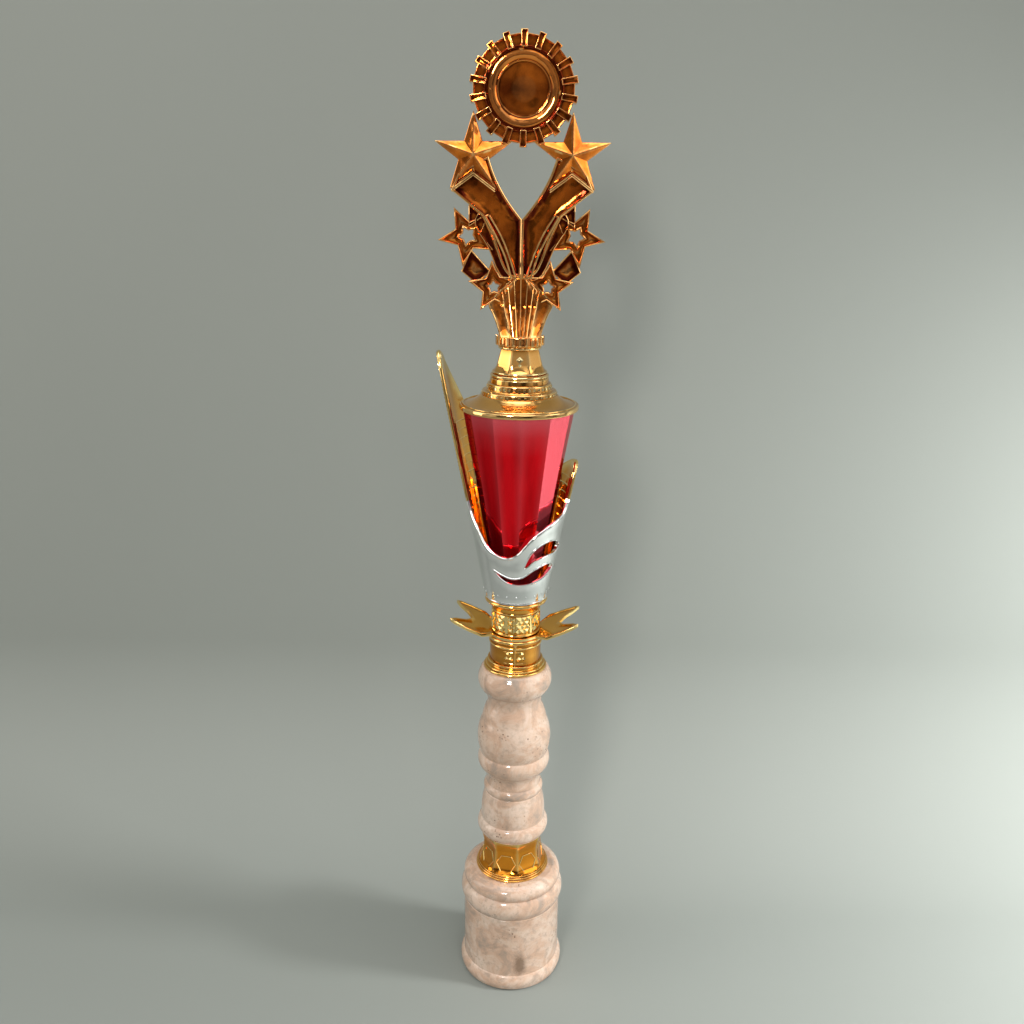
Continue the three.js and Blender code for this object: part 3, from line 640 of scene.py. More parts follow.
# a flat casting in X and Z with both faces alike: steps give [distance from the edge, half thickness],
# and floor adds to the thickness further in
def reliefPlate(outline, holes, steps, spacing=1.2, floor=None, sharp=30):
    loops = [outline, *holes]
    flat, faces = planTriangles(loops, [distance for distance, _ in steps], spacing)
    away = edgeDistance(flat, loops)
    half = numpy.interp(away, [distance for distance, _ in steps], [thick for _, thick in steps])
    if floor:
        last = steps[-1][0]
        half = half + numpy.array([floor(a - last, x, z) if a > last else 0 for a, (x, z) in zip(away, flat)])
    front = [(x, -t, z) for (x, z), t in zip(flat, half)]
    back = [(x, t, z) for (x, z), t in zip(flat, half)]
    return closedPlan(front, back, faces, sharp=sharp)


def newTree(name, inputs):
    tree, given, result = newGroup(name, [("Geometry", "NodeSocketGeometry", None), *inputs,
                                          ("Material", "NodeSocketMaterial", None)],
                                   [("Geometry", "NodeSocketGeometry")], "GeometryNodeTree")
    tree.is_modifier = True
    return tree, given, result


def closeTree(tree, given, result, grown):
    real = add(tree, "GeometryNodeRealizeInstances", {"Geometry": grown})
    painted = add(tree, "GeometryNodeSetMaterial",
                  {"Geometry": real.outputs[0], "Material": given["Material"]})
    plug(tree, result, {"Geometry": painted.outputs[0]})
    return tree


# copies of the given mesh, turned about Z in equal steps
def makeRingTree():
    tree, given, result = newTree("ringOfCopies", [
        ("Count", "NodeSocketInt", 12), ("Start", number, 0.0), ("Sweep", number, 2 * math.pi)])
    spots = add(tree, "GeometryNodeMeshLine", {"Count": given["Count"], "Offset": (0, 0, 0)})
    index = add(tree, "GeometryNodeInputIndex")
    pitch = calculated(tree, "DIVIDE", given["Sweep"], given["Count"])
    turn = calculated(tree, "MULTIPLY_ADD", index.outputs[0], pitch, given["Start"])
    angles = add(tree, "ShaderNodeCombineXYZ", {"Z": turn})
    turning = add(tree, "FunctionNodeEulerToRotation", {0: angles.outputs[0]})
    copies = add(tree, "GeometryNodeInstanceOnPoints", {
        "Points": spots.outputs[0], "Instance": given["Geometry"], "Rotation": turning.outputs[0]})
    return closeTree(tree, given, result, copies.outputs[0])


# a round bead swept along the given edges
def makeBeadTree():
    tree, given, result = newTree("beadAlongEdges", [
        ("Radius", number, 0.001), ("Sides", "NodeSocketInt", 8)])
    line = add(tree, "GeometryNodeMeshToCurve", {"Mesh": given["Geometry"]})
    ring = add(tree, "GeometryNodeCurvePrimitiveCircle",
               {"Resolution": given["Sides"], "Radius": given["Radius"]})
    swept = add(tree, "GeometryNodeCurveToMesh", {
        "Curve": line.outputs[0], "Profile Curve": ring.outputs[0], "Fill Caps": True})
    return closeTree(tree, given, result, swept.outputs[0])


# a small piece repeated along the given edges, its X along them and its Z along the stored outward direction
def makeRowTree():
    tree, given, result = newTree("rowAlongEdges", [
        ("Piece", "NodeSocketObject", None), ("Count", "NodeSocketInt", 10), ("Spread", number, 0.0),
        ("Seed", "NodeSocketInt", 3)])
    line = add(tree, "GeometryNodeMeshToCurve", {"Mesh": given["Geometry"]})
    even = add(tree, "GeometryNodeResampleCurve", {"Curve": line.outputs[0], "Count": given["Count"]})
    along = add(tree, "GeometryNodeInputTangent")
    outward = add(tree, "GeometryNodeInputNamedAttribute", {"Name": "outward"}, data_type="FLOAT_VECTOR")
    first = add(tree, "FunctionNodeAlignRotationToVector", {"Vector": outward.outputs[0]}, axis="Z")
    second = add(tree, "FunctionNodeAlignRotationToVector",
                 {"Rotation": first.outputs[0], "Vector": along.outputs[0]}, axis="X", pivot_axis="Z")
    shape = add(tree, "GeometryNodeObjectInfo", {"Object": given["Piece"]})
    low = calculated(tree, "SUBTRACT", 1.0, given["Spread"])
    high = calculated(tree, "ADD", 1.0, given["Spread"])
    size = add(tree, "FunctionNodeRandomValue", {"Min": low, "Max": high, "Seed": given["Seed"]},
               data_type="FLOAT")
    sizes = next(s for s in size.outputs if s.enabled and s.type == "VALUE")
    copies = add(tree, "GeometryNodeInstanceOnPoints", {
        "Points": even.outputs[0], "Instance": shape.outputs["Geometry"], "Rotation": second.outputs[0],
        "Scale": sizes})
    return closeTree(tree, given, result, copies.outputs[0])


# runs a tree on a mesh and gives the plain mesh it grows
def grown(tree, mesh, look, values):
    values = {"Material": look, **values}
    obj = linked("growing", mesh)
    modifier = obj.modifiers.new("grow", "NODES")
    modifier.node_group = tree
    for item in tree.interface.items_tree:
        if item.item_type == "SOCKET" and item.in_out == "INPUT" and item.name in values:
            modifier[item.identifier] = values[item.name]
    bpy.context.view_layer.update()
    depsgraph = bpy.context.evaluated_depsgraph_get()
    result = bpy.data.meshes.new_from_object(obj.evaluated_get(depsgraph))
    bpy.data.objects.remove(obj)
    return tidied(result)


ringTree, beadTree, rowTree = makeRingTree(), makeBeadTree(), makeRowTree()


def ringOf(mesh, look, count, start=0.0):
    return grown(ringTree, mesh, look, {"Count": count, "Start": start})


def edgesOf(points, closed=False, outward=None):
    mesh = bpy.data.meshes.new("edges")
    count = len(points)
    links = [(i, (i + 1) % count) for i in range(count if closed else count - 1)]
    mesh.from_pydata([Vector(p) * mm for p in points], links, [])
    if outward:
        stored = mesh.attributes.new("outward", "FLOAT_VECTOR", "POINT")
        stored.data.foreach_set("vector", [v for p in points for v in outward(p)])
    return mesh


def beadOn(points, look, radius, closed=False, sides=8):
    return grown(beadTree, edgesOf(points, closed), look, {"Radius": radius * mm, "Sides": sides})


def rowOn(points, look, small, count, outward, closed=False, spread=0.0):
    holder = linked("repeated", small)
    mesh = grown(rowTree, edgesOf(points, closed, outward), look,
                 {"Piece": holder, "Count": count, "Spread": spread})
    bpy.data.objects.remove(holder)
    return mesh


# a small block with sloping sides, standing on z 0 of its own frame and sunk a little below it
def stud(length, width, height, top=0.6, sink=0.3):
    l, w = length / 2, width / 2
    points = [(x * l * s, y * w * s, z) for z, s in ((-sink, 1), (0, 1), (height, top))
              for x, y in ((-1, -1), (1, -1), (1, 1), (-1, 1))]
    faces = [(3, 2, 1, 0), (8, 9, 10, 11)]
    for level in (0, 4):
        faces += [(level + i, level + (i + 1) % 4, level + 4 + (i + 1) % 4, level + 4 + i) for i in range(4)]
    return meshOf(points, faces)


# a stud on the front of a round wall, its height pointing outwards
def onFront(mesh, radius, z, tilt=90, spin=0):
    turn = Matrix.Rotation(math.radians(tilt), 4, "X") @ Matrix.Rotation(math.radians(spin), 4, "Z")
    return placed(mesh, Matrix.Translation(Vector((0, -radius, z)) * mm) @ turn)


def placed(mesh, matrix):
    mesh.transform(matrix)
    if matrix.determinant() < 0:
        mesh.flip_normals()
    return mesh


# joins the meshes into one piece that rides on a body and stands for CAD nodes
def makePiece(name, meshes, material, body, slotName, *nodes):
    work = bmesh.new()
    for mesh in meshes:
        work.from_mesh(mesh)
    joined = bpy.data.meshes.new(name)
    work.to_mesh(joined)
    work.free()
    joined.materials.clear()
    joined.materials.append(material)
    for polygon in joined.polygons:
        polygon.material_index = 0
    obj = linked(name, joined)
    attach(obj, body)
    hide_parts(*nodes)
    print(name, len(joined.polygons), "faces")
    return obj


felt = dict(radius=28.0, thick=0.8, soft=0.25)


def makeFelt():
    soft, thick = felt["soft"], felt["thick"]
    outline = Profile(0, 0).line(felt["radius"] - soft, 0).arc(felt["radius"] - soft, thick, 0.22, 6)
    disc = turned(outline.line(0, thick).points, 160)
    obj = makePiece("felt_disc", [disc], feltLook(), "stand", "felt", "felt_pad")


stone = dict(foot=30, barrel=27.9, shoulder=28.1, tall=66.7, recess=13, recessDeep=13, bore=4.2,
             seed=(0.31, 0.12, 0.57), cloudy=0.75)
darkPatch = dict(at=(0.0052, -0.028, 0.0165), size=(0.0048, 0.02, 0.0092))


def makeBaseStone():
    s, low, h = stone, seat("base_stone"), stone["tall"]
    outline = (Profile(s["recess"], 0).line(s["foot"] - 1.3, 0).arc(s["foot"] - 0.7, 0.7, 0.2, 4)
               .arc(s["barrel"] + 0.35, 8.2, 1.05, 14).arc(s["barrel"], 8.7, -0.12, 3).line(s["barrel"], 20)
               .line(s["barrel"], h - 20.4).arc(s["barrel"] - 0.1, h - 19.7, -0.15, 3)
               .arc(s["shoulder"] - 0.9, h - 8.5, 2.0, 16).arc(s["shoulder"] - 1.1, h - 8.0, -0.15, 3)
               .arc(s["shoulder"] - 3.4, h - 0.5, 2.0, 14).arc(s["shoulder"] - 4.8, h, 0.15, 4)
               .line(s["bore"], h).line(s["bore"], s["recessDeep"]).line(s["recess"], s["recessDeep"]))
    mesh = turned(lifted(outline.points, low), 180, sharp=34)
    look = stoneLook("baseMarble", s["seed"], s["cloudy"], darkPatch)
    makePiece("base_marble", [mesh], look, "stand", "stone", "base_stone")


column = dict(foot=20.1, bell=18.3, ring=16.8, cove=15.3, belt=20.2, ball=20.3, neck=14.8, cap=20.2, bore=4.2,
              tall=103.5, seed=(0.8, 0.33, 0.05), cloudy=0.55)


def makeColumn():
    c, low = column, seat("column_stone")
    outline = (Profile(c["bore"], 0).line(c["foot"] - 2.3, 0).arc(c["foot"] - 1.7, 0.6, 0.2, 4)
               .arc(c["foot"] - 1.6, 8.9, 1.65, 12).arc(c["bell"] - 0.3, 9.6, -0.2, 3)
               .arc(c["ring"] - 0.6, 26.2, 0.75, 14).arc(c["ring"] - 0.9, 26.9, -0.15, 3)
               .arc(c["ring"] - 1.2, 31.6, 0.95, 8).arc(c["cove"], 32.3, -0.12, 3).line(c["cove"], 34.5)
               .arc(c["belt"] - 1.9, 41.7, -1.1, 8).arc(c["belt"] - 1.2, 51.0, 1.5, 12)
               .arc(c["ball"] - 1.5, 51.7, -0.15, 3).arc(c["ball"] - 2.4, 72.5, 2.05, 20)
               .arc(c["neck"] + 1.0, 79.6, 0.25, 5).arc(c["neck"] + 0.4, 85.4, -0.6, 8)
               .arc(c["cap"] - 2.4, 89.8, -0.7, 6).arc(c["cap"] - 1.6, 101.9, 2.0, 14)
               .arc(c["cap"] - 3.2, c["tall"], 0.3, 5).line(c["bore"], c["tall"]))
    mesh = turned(lifted(outline.points, low), 150, sharp=34)
    look = stoneLook("columnMarble", c["seed"], c["cloudy"], None)
    makePiece("column_marble", [mesh], look, "stand", "stone", "column_stone")


collar = dict(rim=20.8, flare=19.4, waist=16.6, top=18.0, tall=23.5, band=3.5, slope=12.5, sides=8, corner=10,
              hexWide=5.6, hexTall=4.6, hexAt=9.2, hexBead=0.34, hexSink=0.04, bore=3.3, wall=1.8)


def collarRadius(height):
    c = collar
    t = min(1.0, max(0.0, (height - c["band"]) / c["slope"]))
    return c["waist"] + (c["flare"] - c["waist"]) * (1 - t) ** 1.9


def makeBaseCollar():
    c, low, look = collar, seat("base_collar"), looks["collarPlating"]
    h, corner = c["tall"], math.radians(c["corner"])
    foot = (Profile(c["rim"] - c["wall"] - 1.3, 0).line(c["rim"] - 0.6, 0).bead(c["rim"] - 0.6, 1.3)
            .line(c["rim"] - 0.8, 1.45).bead(c["rim"] - 1.0, 2.5)
            .line(c["rim"] - 1.25, 2.7).bead(c["rim"] - 1.4, 3.4))
    outline = [(r, z, 0) for r, z in foot.points]
    outline.append((c["flare"] - 0.2, c["band"], 0.0))
    for i in range(1, 17):
        z = c["band"] + 13.5 * i / 16
        outline.append((collarRadius(z), z, min(1.0, i / 2)))
    outline += [(c["top"] - 0.6, h - 3, 1), (c["top"], h - 1.2, 1), (c["top"] - 0.1, h - 0.4, 1),
                (c["top"] - 0.6, h, 1), (c["bore"], h, 0), (c["bore"], h - 3, 0), (c["waist"] - 3.7, h - 3, 0),
                (c["waist"] - 3.7, 13, 0), (c["rim"] - c["wall"] - 1.3, c["band"], 0)]
    section = flatSided(c["sides"], corner)
    body = turned([(r, z + low, s) for r, z, s in outline], section=section,
                  angles=flatSidedAngles(c["sides"], corner, 14), sharp=24)
    hexagons = []
    for side in range(c["sides"]):
        middle = corner + (side + 0.5) * 2 * math.pi / c["sides"]
        loop = []
        for k in range(6):
            turn = math.radians(60 * k)
            across = c["hexWide"] * math.cos(turn)
            z = c["hexAt"] + c["hexTall"] * math.sin(turn) / math.sin(math.radians(60))
            flat = collarRadius(z) * math.cos(math.pi / c["sides"]) - c["hexSink"]
            loop.append((flat * math.sin(middle) + across * math.cos(middle),
                         -flat * math.cos(middle) + across * math.sin(middle), z + low))
        hexagons.append(beadOn(densified(loop, 5), look, c["hexBead"], closed=True, sides=6))
    makePiece("base_collar_plated", [body, *hexagons], look, "stand", "gold", "base_collar")


def densified(loop, steps):
    return [tuple(Vector(a).lerp(Vector(b), k / steps))
            for a, b in zip(loop, loop[1:] + loop[:1]) for k in range(steps)]


def outwardFrom(point):
    return Vector((point[0], point[1], 0)).normalized()


spool = dict(flange=17, barrel=13.8, tall=20, wall=1.8, seam=-1, seamBead=0.28, lineBead=0.16,
             motifs=(-15, 13), motifAt=10.4,
             gems=((0, 1.9, 1.0), (-5.5, -0.9, 0.9), (5.5, -0.9, 0.9)), gem=2.1, gemHigh=0.8,
             bore=3.3)


def makeSpool():
    s, low, look = spool, seat("spool_collar"), looks["goldPlating"]
    b, h, wall = s["barrel"], s["tall"], s["wall"]
    outline = (Profile(b - wall, 0).line(s["flange"] - 0.7, 0).bead(s["flange"] - 0.6, 1.6)
               .line(s["flange"] - 0.9, 1.8).arc(s["flange"] - 1.5, 2.7, 0.3, 5).arc(b + 0.9, 4.2, -0.5, 6)
               .bead(b + 0.7, 5.2, 6).line(b, 5.6).line(b, 10).line(b, h - 5.4).bead(b, h - 4.2, 6)
               .line(b - 0.2, h - 4.0).line(b - 0.2, h - 2.8).line(b, h - 2.6).bead(b, h - 0.5, 8)
               .line(b - 0.4, h).line(s["bore"], h).line(s["bore"], h - wall).line(b - wall, h - wall))
    parts = [turned(lifted(outline.points, low), 144)]
    seam = math.radians(s["seam"])
    parts.append(beadOn([around(b, seam, low + z) for z in (5.6, 8, 10, 12, h - 5.4)], look, s["seamBead"],
                        sides=6))
    for motif in s["motifs"]:
        for turn, lift, size in s["gems"]:
            angle = math.radians(motif + turn)
            gem = stud(s["gem"] * size, s["gem"] * size, s["gemHigh"], top=0.05)
            facing = outwardFrom(around(1, angle, 0)).to_track_quat("Z", "Y").to_matrix().to_4x4()
            spot = Vector(around(b, angle, low + s["motifAt"] + lift)) * mm
            spin = Matrix.Rotation(math.radians(45), 4, "Z")
            parts.append(placed(gem, Matrix.Translation(spot) @ facing @ spin))
    for z in (6.8, h - 6.6):
        line = [around(b, math.radians(a), low + z) for a in range(-27, 27, 3)]
        parts.append(beadOn(line, look, s["lineBead"], sides=6))
    makePiece("spool_plated", parts, look, "stand", "gold", "spool_collar")


crown = dict(radius=14.5, thick=1.6, tip=36, spread=20, notch=23.5, rise=9.4, power=1.1, lean=0.22, turn=-5,
             root=11.6, rimWide=1.25, rimHigh=0.75, rimSunk=0.35, plain=13, under=0.6, arc=(53, 127), bore=3.3)


def crownRise(x, y):
    c = crown
    along = max(0.0, (abs(x) - c["root"]) / (c["tip"] * math.cos(math.radians(c["spread"])) - c["root"]))
    cupped = math.sin(math.pi * min(1.0, along) ** 0.5)
    return c["rise"] * along ** c["power"] + c["lean"] * y * cupped


# both wings and the disc between them as one curved plate with a raised edge
def makeCrown():
    c, low, look = crown, seat("leaf_crown"), looks["goldPlating"]
    tipX, tipY = (c["tip"] * f(math.radians(c["spread"])) for f in (math.cos, math.sin))
    half = [(c["root"], -8.7), (17.5, -10.3), (24.5, -11.6), (31, -13.0), (tipX - 0.7, -tipY - 0.5),
            (tipX, -tipY + 0.1), (31.5, -8.3), (26.5, -4.0), (c["notch"], 0)]
    right = half + [(x, -y) for x, y in reversed(half[:-1])]
    first, last = c["arc"]
    disc = [(c["radius"] * math.cos(a), c["radius"] * math.sin(a))
            for a in [math.radians(first + (last - first) * k / 16) for k in range(17)]]
    outline = right + disc + [(-x, -y) for x, y in right] + [(-x, -y) for x, y in disc]
    hole = [(c["bore"] * math.cos(a), -c["bore"] * math.sin(a))
            for a in [2 * math.pi * k / 32 for k in range(32)]]
    insets = [0, 0.25, 0.6, c["rimWide"], c["rimWide"] + 0.35]
    proud = [0.35, 0.62, c["rimHigh"], 0.5, 0.0]
    flat, faces = planTriangles([outline, hole], insets, 1.3)
    away = edgeDistance(flat, [outline])
    top = numpy.interp(away, insets, proud)
    middle, face = c["thick"] / 2, c["thick"] / 2 - c["rimSunk"]
    upper, under = [], []
    for (x, y), t in zip(flat, top):
        plain, z = abs(x) < c["plain"], low + middle + crownRise(x, y)
        upper.append((x, y, z + (face if plain else face + t)))
        under.append((x, y, z - (middle if plain else face + t * c["under"])))
    body = closedPlan(upper, under, faces, sharp=38)
    parts = [placed(body, Matrix.Rotation(math.radians(c["turn"]), 4, "Z"))]
    makePiece("leaf_crown_plated", parts, look, "stand", "gold", "leaf_crown")


socket = dict(barrel=12.6, lip=16.5, tall=20, wall=1.8, posts=6, postAt=38, studs=26, spread=0.3,
              rows=((3.4, 0), (5.6, 7), (7.8, 0), (10.0, 7)), bore=3.3)


def makeSocket():
    s, low, look = socket, seat("cup_socket"), looks["goldPlating"]
    b, h, wall = s["barrel"], s["tall"], s["wall"]
    outline = (Profile(b - wall, 0).line(b - 0.2, 0).bead(b - 0.1, 1.2, 6).line(b - 0.3, 1.5).line(b - 0.3, 8)
               .line(b - 0.3, 12.2).bead(b, 13.2, 6).arc(s["lip"] - 1.5, 17.2, -0.7, 8)
               .line(s["lip"] - 0.9, 17.4).bead(s["lip"] - 0.7, 19.5).line(s["lip"] - 1.2, h).line(s["bore"], h)
               .line(s["bore"], h - wall).line(b - wall, h - wall))
    parts = [turned(lifted(outline.points, low), 144)]
    gem = stud(2.4, 2.2, 0.65, top=0.12)
    for z, start in s["rows"]:
        path = [around(b - 0.3, math.radians(start + a), low + z) for a in range(0, 360, 5)]
        parts.append(rowOn(path, look, gem, s["studs"], outwardFrom, closed=True, spread=s["spread"]))
    post = onFront(stud(11.4, 1.7, 0.85, top=0.85), b - 0.3, low + 6.9, spin=90)
    parts.append(ringOf(post, look, s["posts"], math.radians(s["postAt"])))
    makePiece("cup_socket_plated", parts, look, "stand", "gold", "cup_socket")


sleeve = dict(foot=16.6, besideLid=36.3, tall=101, wall=1.8, lining=0.2, rim=1.0, slotRim=0.45, slotInset=0.25,
              floor=2, bore=3.3, columns=180, perDegree=0.36, footBead=0.6, ticks=22, tickAt=4.6,
              silver=(-76, 78), gold=((-180, -75), (77, 180)), notch=0.45, notchLong=1.5, notches=1.2)
# rungs across the gold inside of the blade and the wing: azimuths of the two rails, then low and high ends
ladder = dict(spans=((-95, -121, 34, 92), (96, 120, 30, 64)), pitch=4.2, rail=0.3, thick=0.42, thin=0.28)
# top edge as [azimuth in degrees from the front, height above the seat], from the back valley past the
# tall left blade, the low front and the right wing
sleeveEdge = [
    (-180, 54), (-163, 62), (-147, 75), (-132, 90), (-117, 108), (-106, 120), (-99, 127), (-93, 127.6),
    (-88, 121), (-85, 104), (-82.5, 80), (-79, 60), (-72, 49), (-62, 42), (-52, 35.5), (-40, 30.6),
    (-26, 27.8), (-11, 27.2), (2, 29.6), (13, 34.6), (24, 39.6), (40, 43.6), (56, 46.2), (69, 48.8),
    (77, 53.6), (82, 62), (87, 69.6), (95, 72.6), (108, 71.6), (126, 66.5), (146, 60), (164, 55.5)]
sleeveSlots = [
    [(9, 22.4), (18, 30.4), (30, 34.6), (46, 36.2), (62, 34.6), (77, 30.2), (66, 27.6), (46, 27.2), (28, 25.6),
     (14, 22)],
    [(-38, 20.4), (-24, 18.2), (-8, 16.3), (8, 17), (24, 20.6), (42, 23), (58, 22.4), (66, 19.4), (52, 16),
     (34, 13.4), (14, 12), (-6, 12.2), (-24, 14.9)]]


def sleevePlace(u, height, depth):
    s = sleeve
    radius = s["foot"] + (s["besideLid"] - s["foot"]) * height / s["tall"] - depth
    return around(radius, math.radians(u / s["perDegree"]), height + seat("sleeve"))


def sleeveSkin(outline, slots, outer, inner, spacing=2.2):
    flat, faces = planTriangles([outline, *slots], [0], spacing)
    ends = {i for i, (u, _) in enumerate(flat) if abs(abs(u) - 180 * sleeve["perDegree"]) < 1e-4}
    front, back = ([sleevePlace(u, z, depth) for u, z in flat] for depth in (outer, inner))
    return closedPlan(front, back, faces, seam=lambda i: i in ends, sharp=40)


def makeSleeve():
    s, silver, gold = sleeve, looks["silverPlating"], looks["goldPlating"]
    k = s["perDegree"]
    edge = smoothThrough([(a * k, z) for a, z in sleeveEdge + [(180, sleeveEdge[0][1])]], 6)
    sideSteps = int(sleeveEdge[0][1] / 2.5)
    sideRise = [sleeveEdge[0][1] * i / sideSteps for i in range(1, sideSteps)]
    foot = [(-180 * k + 360 * k * i / s["columns"], 0) for i in range(s["columns"] + 1)]
    outline = foot + [(180 * k, z) for z in sideRise] + edge[::-1] + [(-180 * k, z) for z in sideRise[::-1]]
    slots = []
    for loop in sleeveSlots:
        ring = smoothThrough([(a * k, z) for a, z in loop], 5, closed=True)
        turning = sum(a[0] * b[1] - b[0] * a[1] for a, b in zip(ring, ring[1:] + ring[:1]))
        slots.append(ring if turning < 0 else ring[::-1])
    middle = s["wall"] / 2
    low = seat("sleeve")
    base = (Profile(s["foot"] - 4.4, 0).line(s["foot"] - 0.7, 0).line(s["foot"] - 0.7, s["floor"])
            .line(s["bore"], s["floor"]).line(s["bore"], 0))
    ring = [around(s["foot"] - 0.25, math.radians(a), low + s["footBead"]) for a in range(0, 360, 3)]
    parts = [sleeveSkin(outline, slots, 0, s["wall"]), turned(lifted(base.points, low), 96),
             beadOn(ring, silver, s["footBead"], closed=True, sides=10)]
    front = [p for p in edge if s["silver"][0] * k < p[0] < s["silver"][1] * k]
    parts.append(beadOn([sleevePlace(u, z, middle) for u, z in front], silver, s["rim"], sides=12))
    for slot in slots:
        path = [sleevePlace(u, z, 0.1) for u, z in inset(slot, -s["slotInset"])]
        parts.append(beadOn(path, silver, s["slotRim"], closed=True, sides=10))
    tick = stud(0.5, 1.3, 0.35, top=0.5)
    ring = [sleevePlace(a * k, s["tickAt"], 0) for a in range(-180, 180, 3)]
    parts.append(rowOn(ring, silver, tick, s["ticks"], outwardFrom, closed=True))
    makePiece("sleeve_shell", parts, silver, "stand", "silver", "sleeve")

    inner = s["wall"] + s["lining"]
    lining = [sleeveSkin(outline, slots, s["wall"] + 0.02, inner)]
    notch = stud(s["notch"], s["notchLong"], s["rim"] + 0.16, top=0.8, sink=0.0)
    for first, last in s["gold"]:
        run = [p for p in edge if first * k <= p[0] <= last * k]
        path = [sleevePlace(u, z, middle) for u, z in run]
        lining.append(beadOn(path, gold, s["rim"], sides=12))
        lining.append(rowOn(path, gold, notch, int(len(path) * s["notches"]), outwardFrom))
    for near, far, low, high in ladder["spans"]:
        for angle in (near, far):
            rail = [sleevePlace(angle * k, low + (high - low) * i / 24, inner) for i in range(25)]
            lining.append(beadOn(rail, gold, ladder["rail"], sides=6))
        rungs = int((high - low) / ladder["pitch"])
        for i in range(rungs + 1):
            z = low + (high - low) * i / rungs
            rung = [sleevePlace((near + (far - near) * j / 8) * k, z, inner) for j in range(9)]
            lining.append(beadOn(rung, gold, ladder["thick"] if i % 2 else ladder["thin"], sides=6))
    makePiece("sleeve_lining", lining, gold, "stand", "gold", "sleeve")


cup = dict(foot=10.6, mouth=28.4, tall=99, wall=1.5, floor=2, sides=12, corner=3, blunt=0.9988, levels=10,
           bore=3.3)


def makeCup():
    c, low, look = cup, seat("cup"), looks["redPlating"]
    corner = math.radians(c["corner"])
    outline = [(c["bore"], 0), (c["foot"] - 0.4, 0, 1), (c["foot"], 0.5, 1)]
    for i in range(1, c["levels"]):
        share = i / c["levels"]
        outline.append((c["foot"] + (c["mouth"] - c["foot"]) * share, c["tall"] * share, 1))
    outline += [(c["mouth"] - 0.1, c["tall"] - 0.5, 1), (c["mouth"] - 0.4, c["tall"], 1),
                (c["mouth"] - c["wall"] + 0.3, c["tall"], 1), (c["mouth"] - c["wall"], c["tall"] - 0.4, 1),
                (c["foot"] - c["wall"] + 0.6, c["floor"], 1), (c["bore"], c["floor"])]
    mesh = turned([(r, z + low, *share) for r, z, *share in outline],
                  section=flatSided(c["sides"], corner, c["blunt"]),
                  angles=flatSidedAngles(c["sides"], corner, 6, c["blunt"]), sharp=4)
    makePiece("cup_red", [mesh], look, "stand", "red", "cup")


lid = dict(rim=30.3, middle=18.8, step=15, tall=16, spigot=25.2, spigotDeep=3, wall=1.8, ticks=40, tickWide=1.3,
           tickHigh=0.28, bore=3.3)


def makeLid():
    d, low, look = lid, seat("lid") + lid["spigotDeep"], looks["paleGoldPlating"]
    h, wall = d["tall"], d["wall"]
    outline = (Profile(d["spigot"] - wall, -d["spigotDeep"]).line(d["spigot"], -d["spigotDeep"])
               .line(d["spigot"], 0)
               .line(d["rim"] - 0.5, 0).arc(d["rim"] - 0.1, 0.6, 0.12, 4).line(d["rim"] - 0.1, 1.9)
               .arc(d["rim"] - 0.7, 2.5, 0.15, 4).arc(d["rim"] - 1.5, 2.6, -0.15, 4)
               .bead(d["rim"] - 2.3, 2.7, 5)
               .arc(d["middle"] + 0.6, 7.2, -0.9, 14).line(d["middle"] + 0.1, 7.4).line(d["middle"], 8.9)
               .arc(d["middle"] - 0.7, 9.5, 0.25, 5).arc(d["step"] + 1.7, 10.2, -0.3, 6)
               .line(d["step"] + 1.3, 10.4)
               .line(d["step"] + 1.1, 12.6).arc(d["step"] + 0.3, 13.3, 0.25, 5).line(d["step"] - 0.1, 13.5)
               .line(d["step"] - 0.2, 15.4).arc(d["step"] - 0.8, h, 0.2, 4).line(d["bore"], h)
               .line(d["bore"], h - wall).line(d["step"] - 2, h - wall).line(d["step"] - 2, 9.4)
               .line(d["spigot"] - wall, 1))
    parts = [turned(lifted(outline.points, low), 180)]
    for radius, z, tall in ((d["middle"] + 0.02, 8.15, 1.0), (d["step"] + 1.2, 11.5, 1.4)):
        tick = stud(d["tickWide"], tall, d["tickHigh"], top=0.75)
        parts.append(ringOf(onFront(tick, radius, low + z), look, d["ticks"]))
    makePiece("lid_plated", parts, look, "stand", "pale_gold", "lid")


neck = dict(bead=14.5, foot=13.4, top=10.2, tall=16, wall=1.8, low=3.5, high=13.9, taper=2.9, sides=8,
            corner=22.5, blunt=0.985, gems=((9.6, 2.6), (7.2, 1.3)), gemHigh=0.5, bore=3.3)


def neckRadius(z):
    return neck["foot"] - 0.4 - neck["taper"] * (z - neck["low"]) / (neck["high"] - neck["low"])


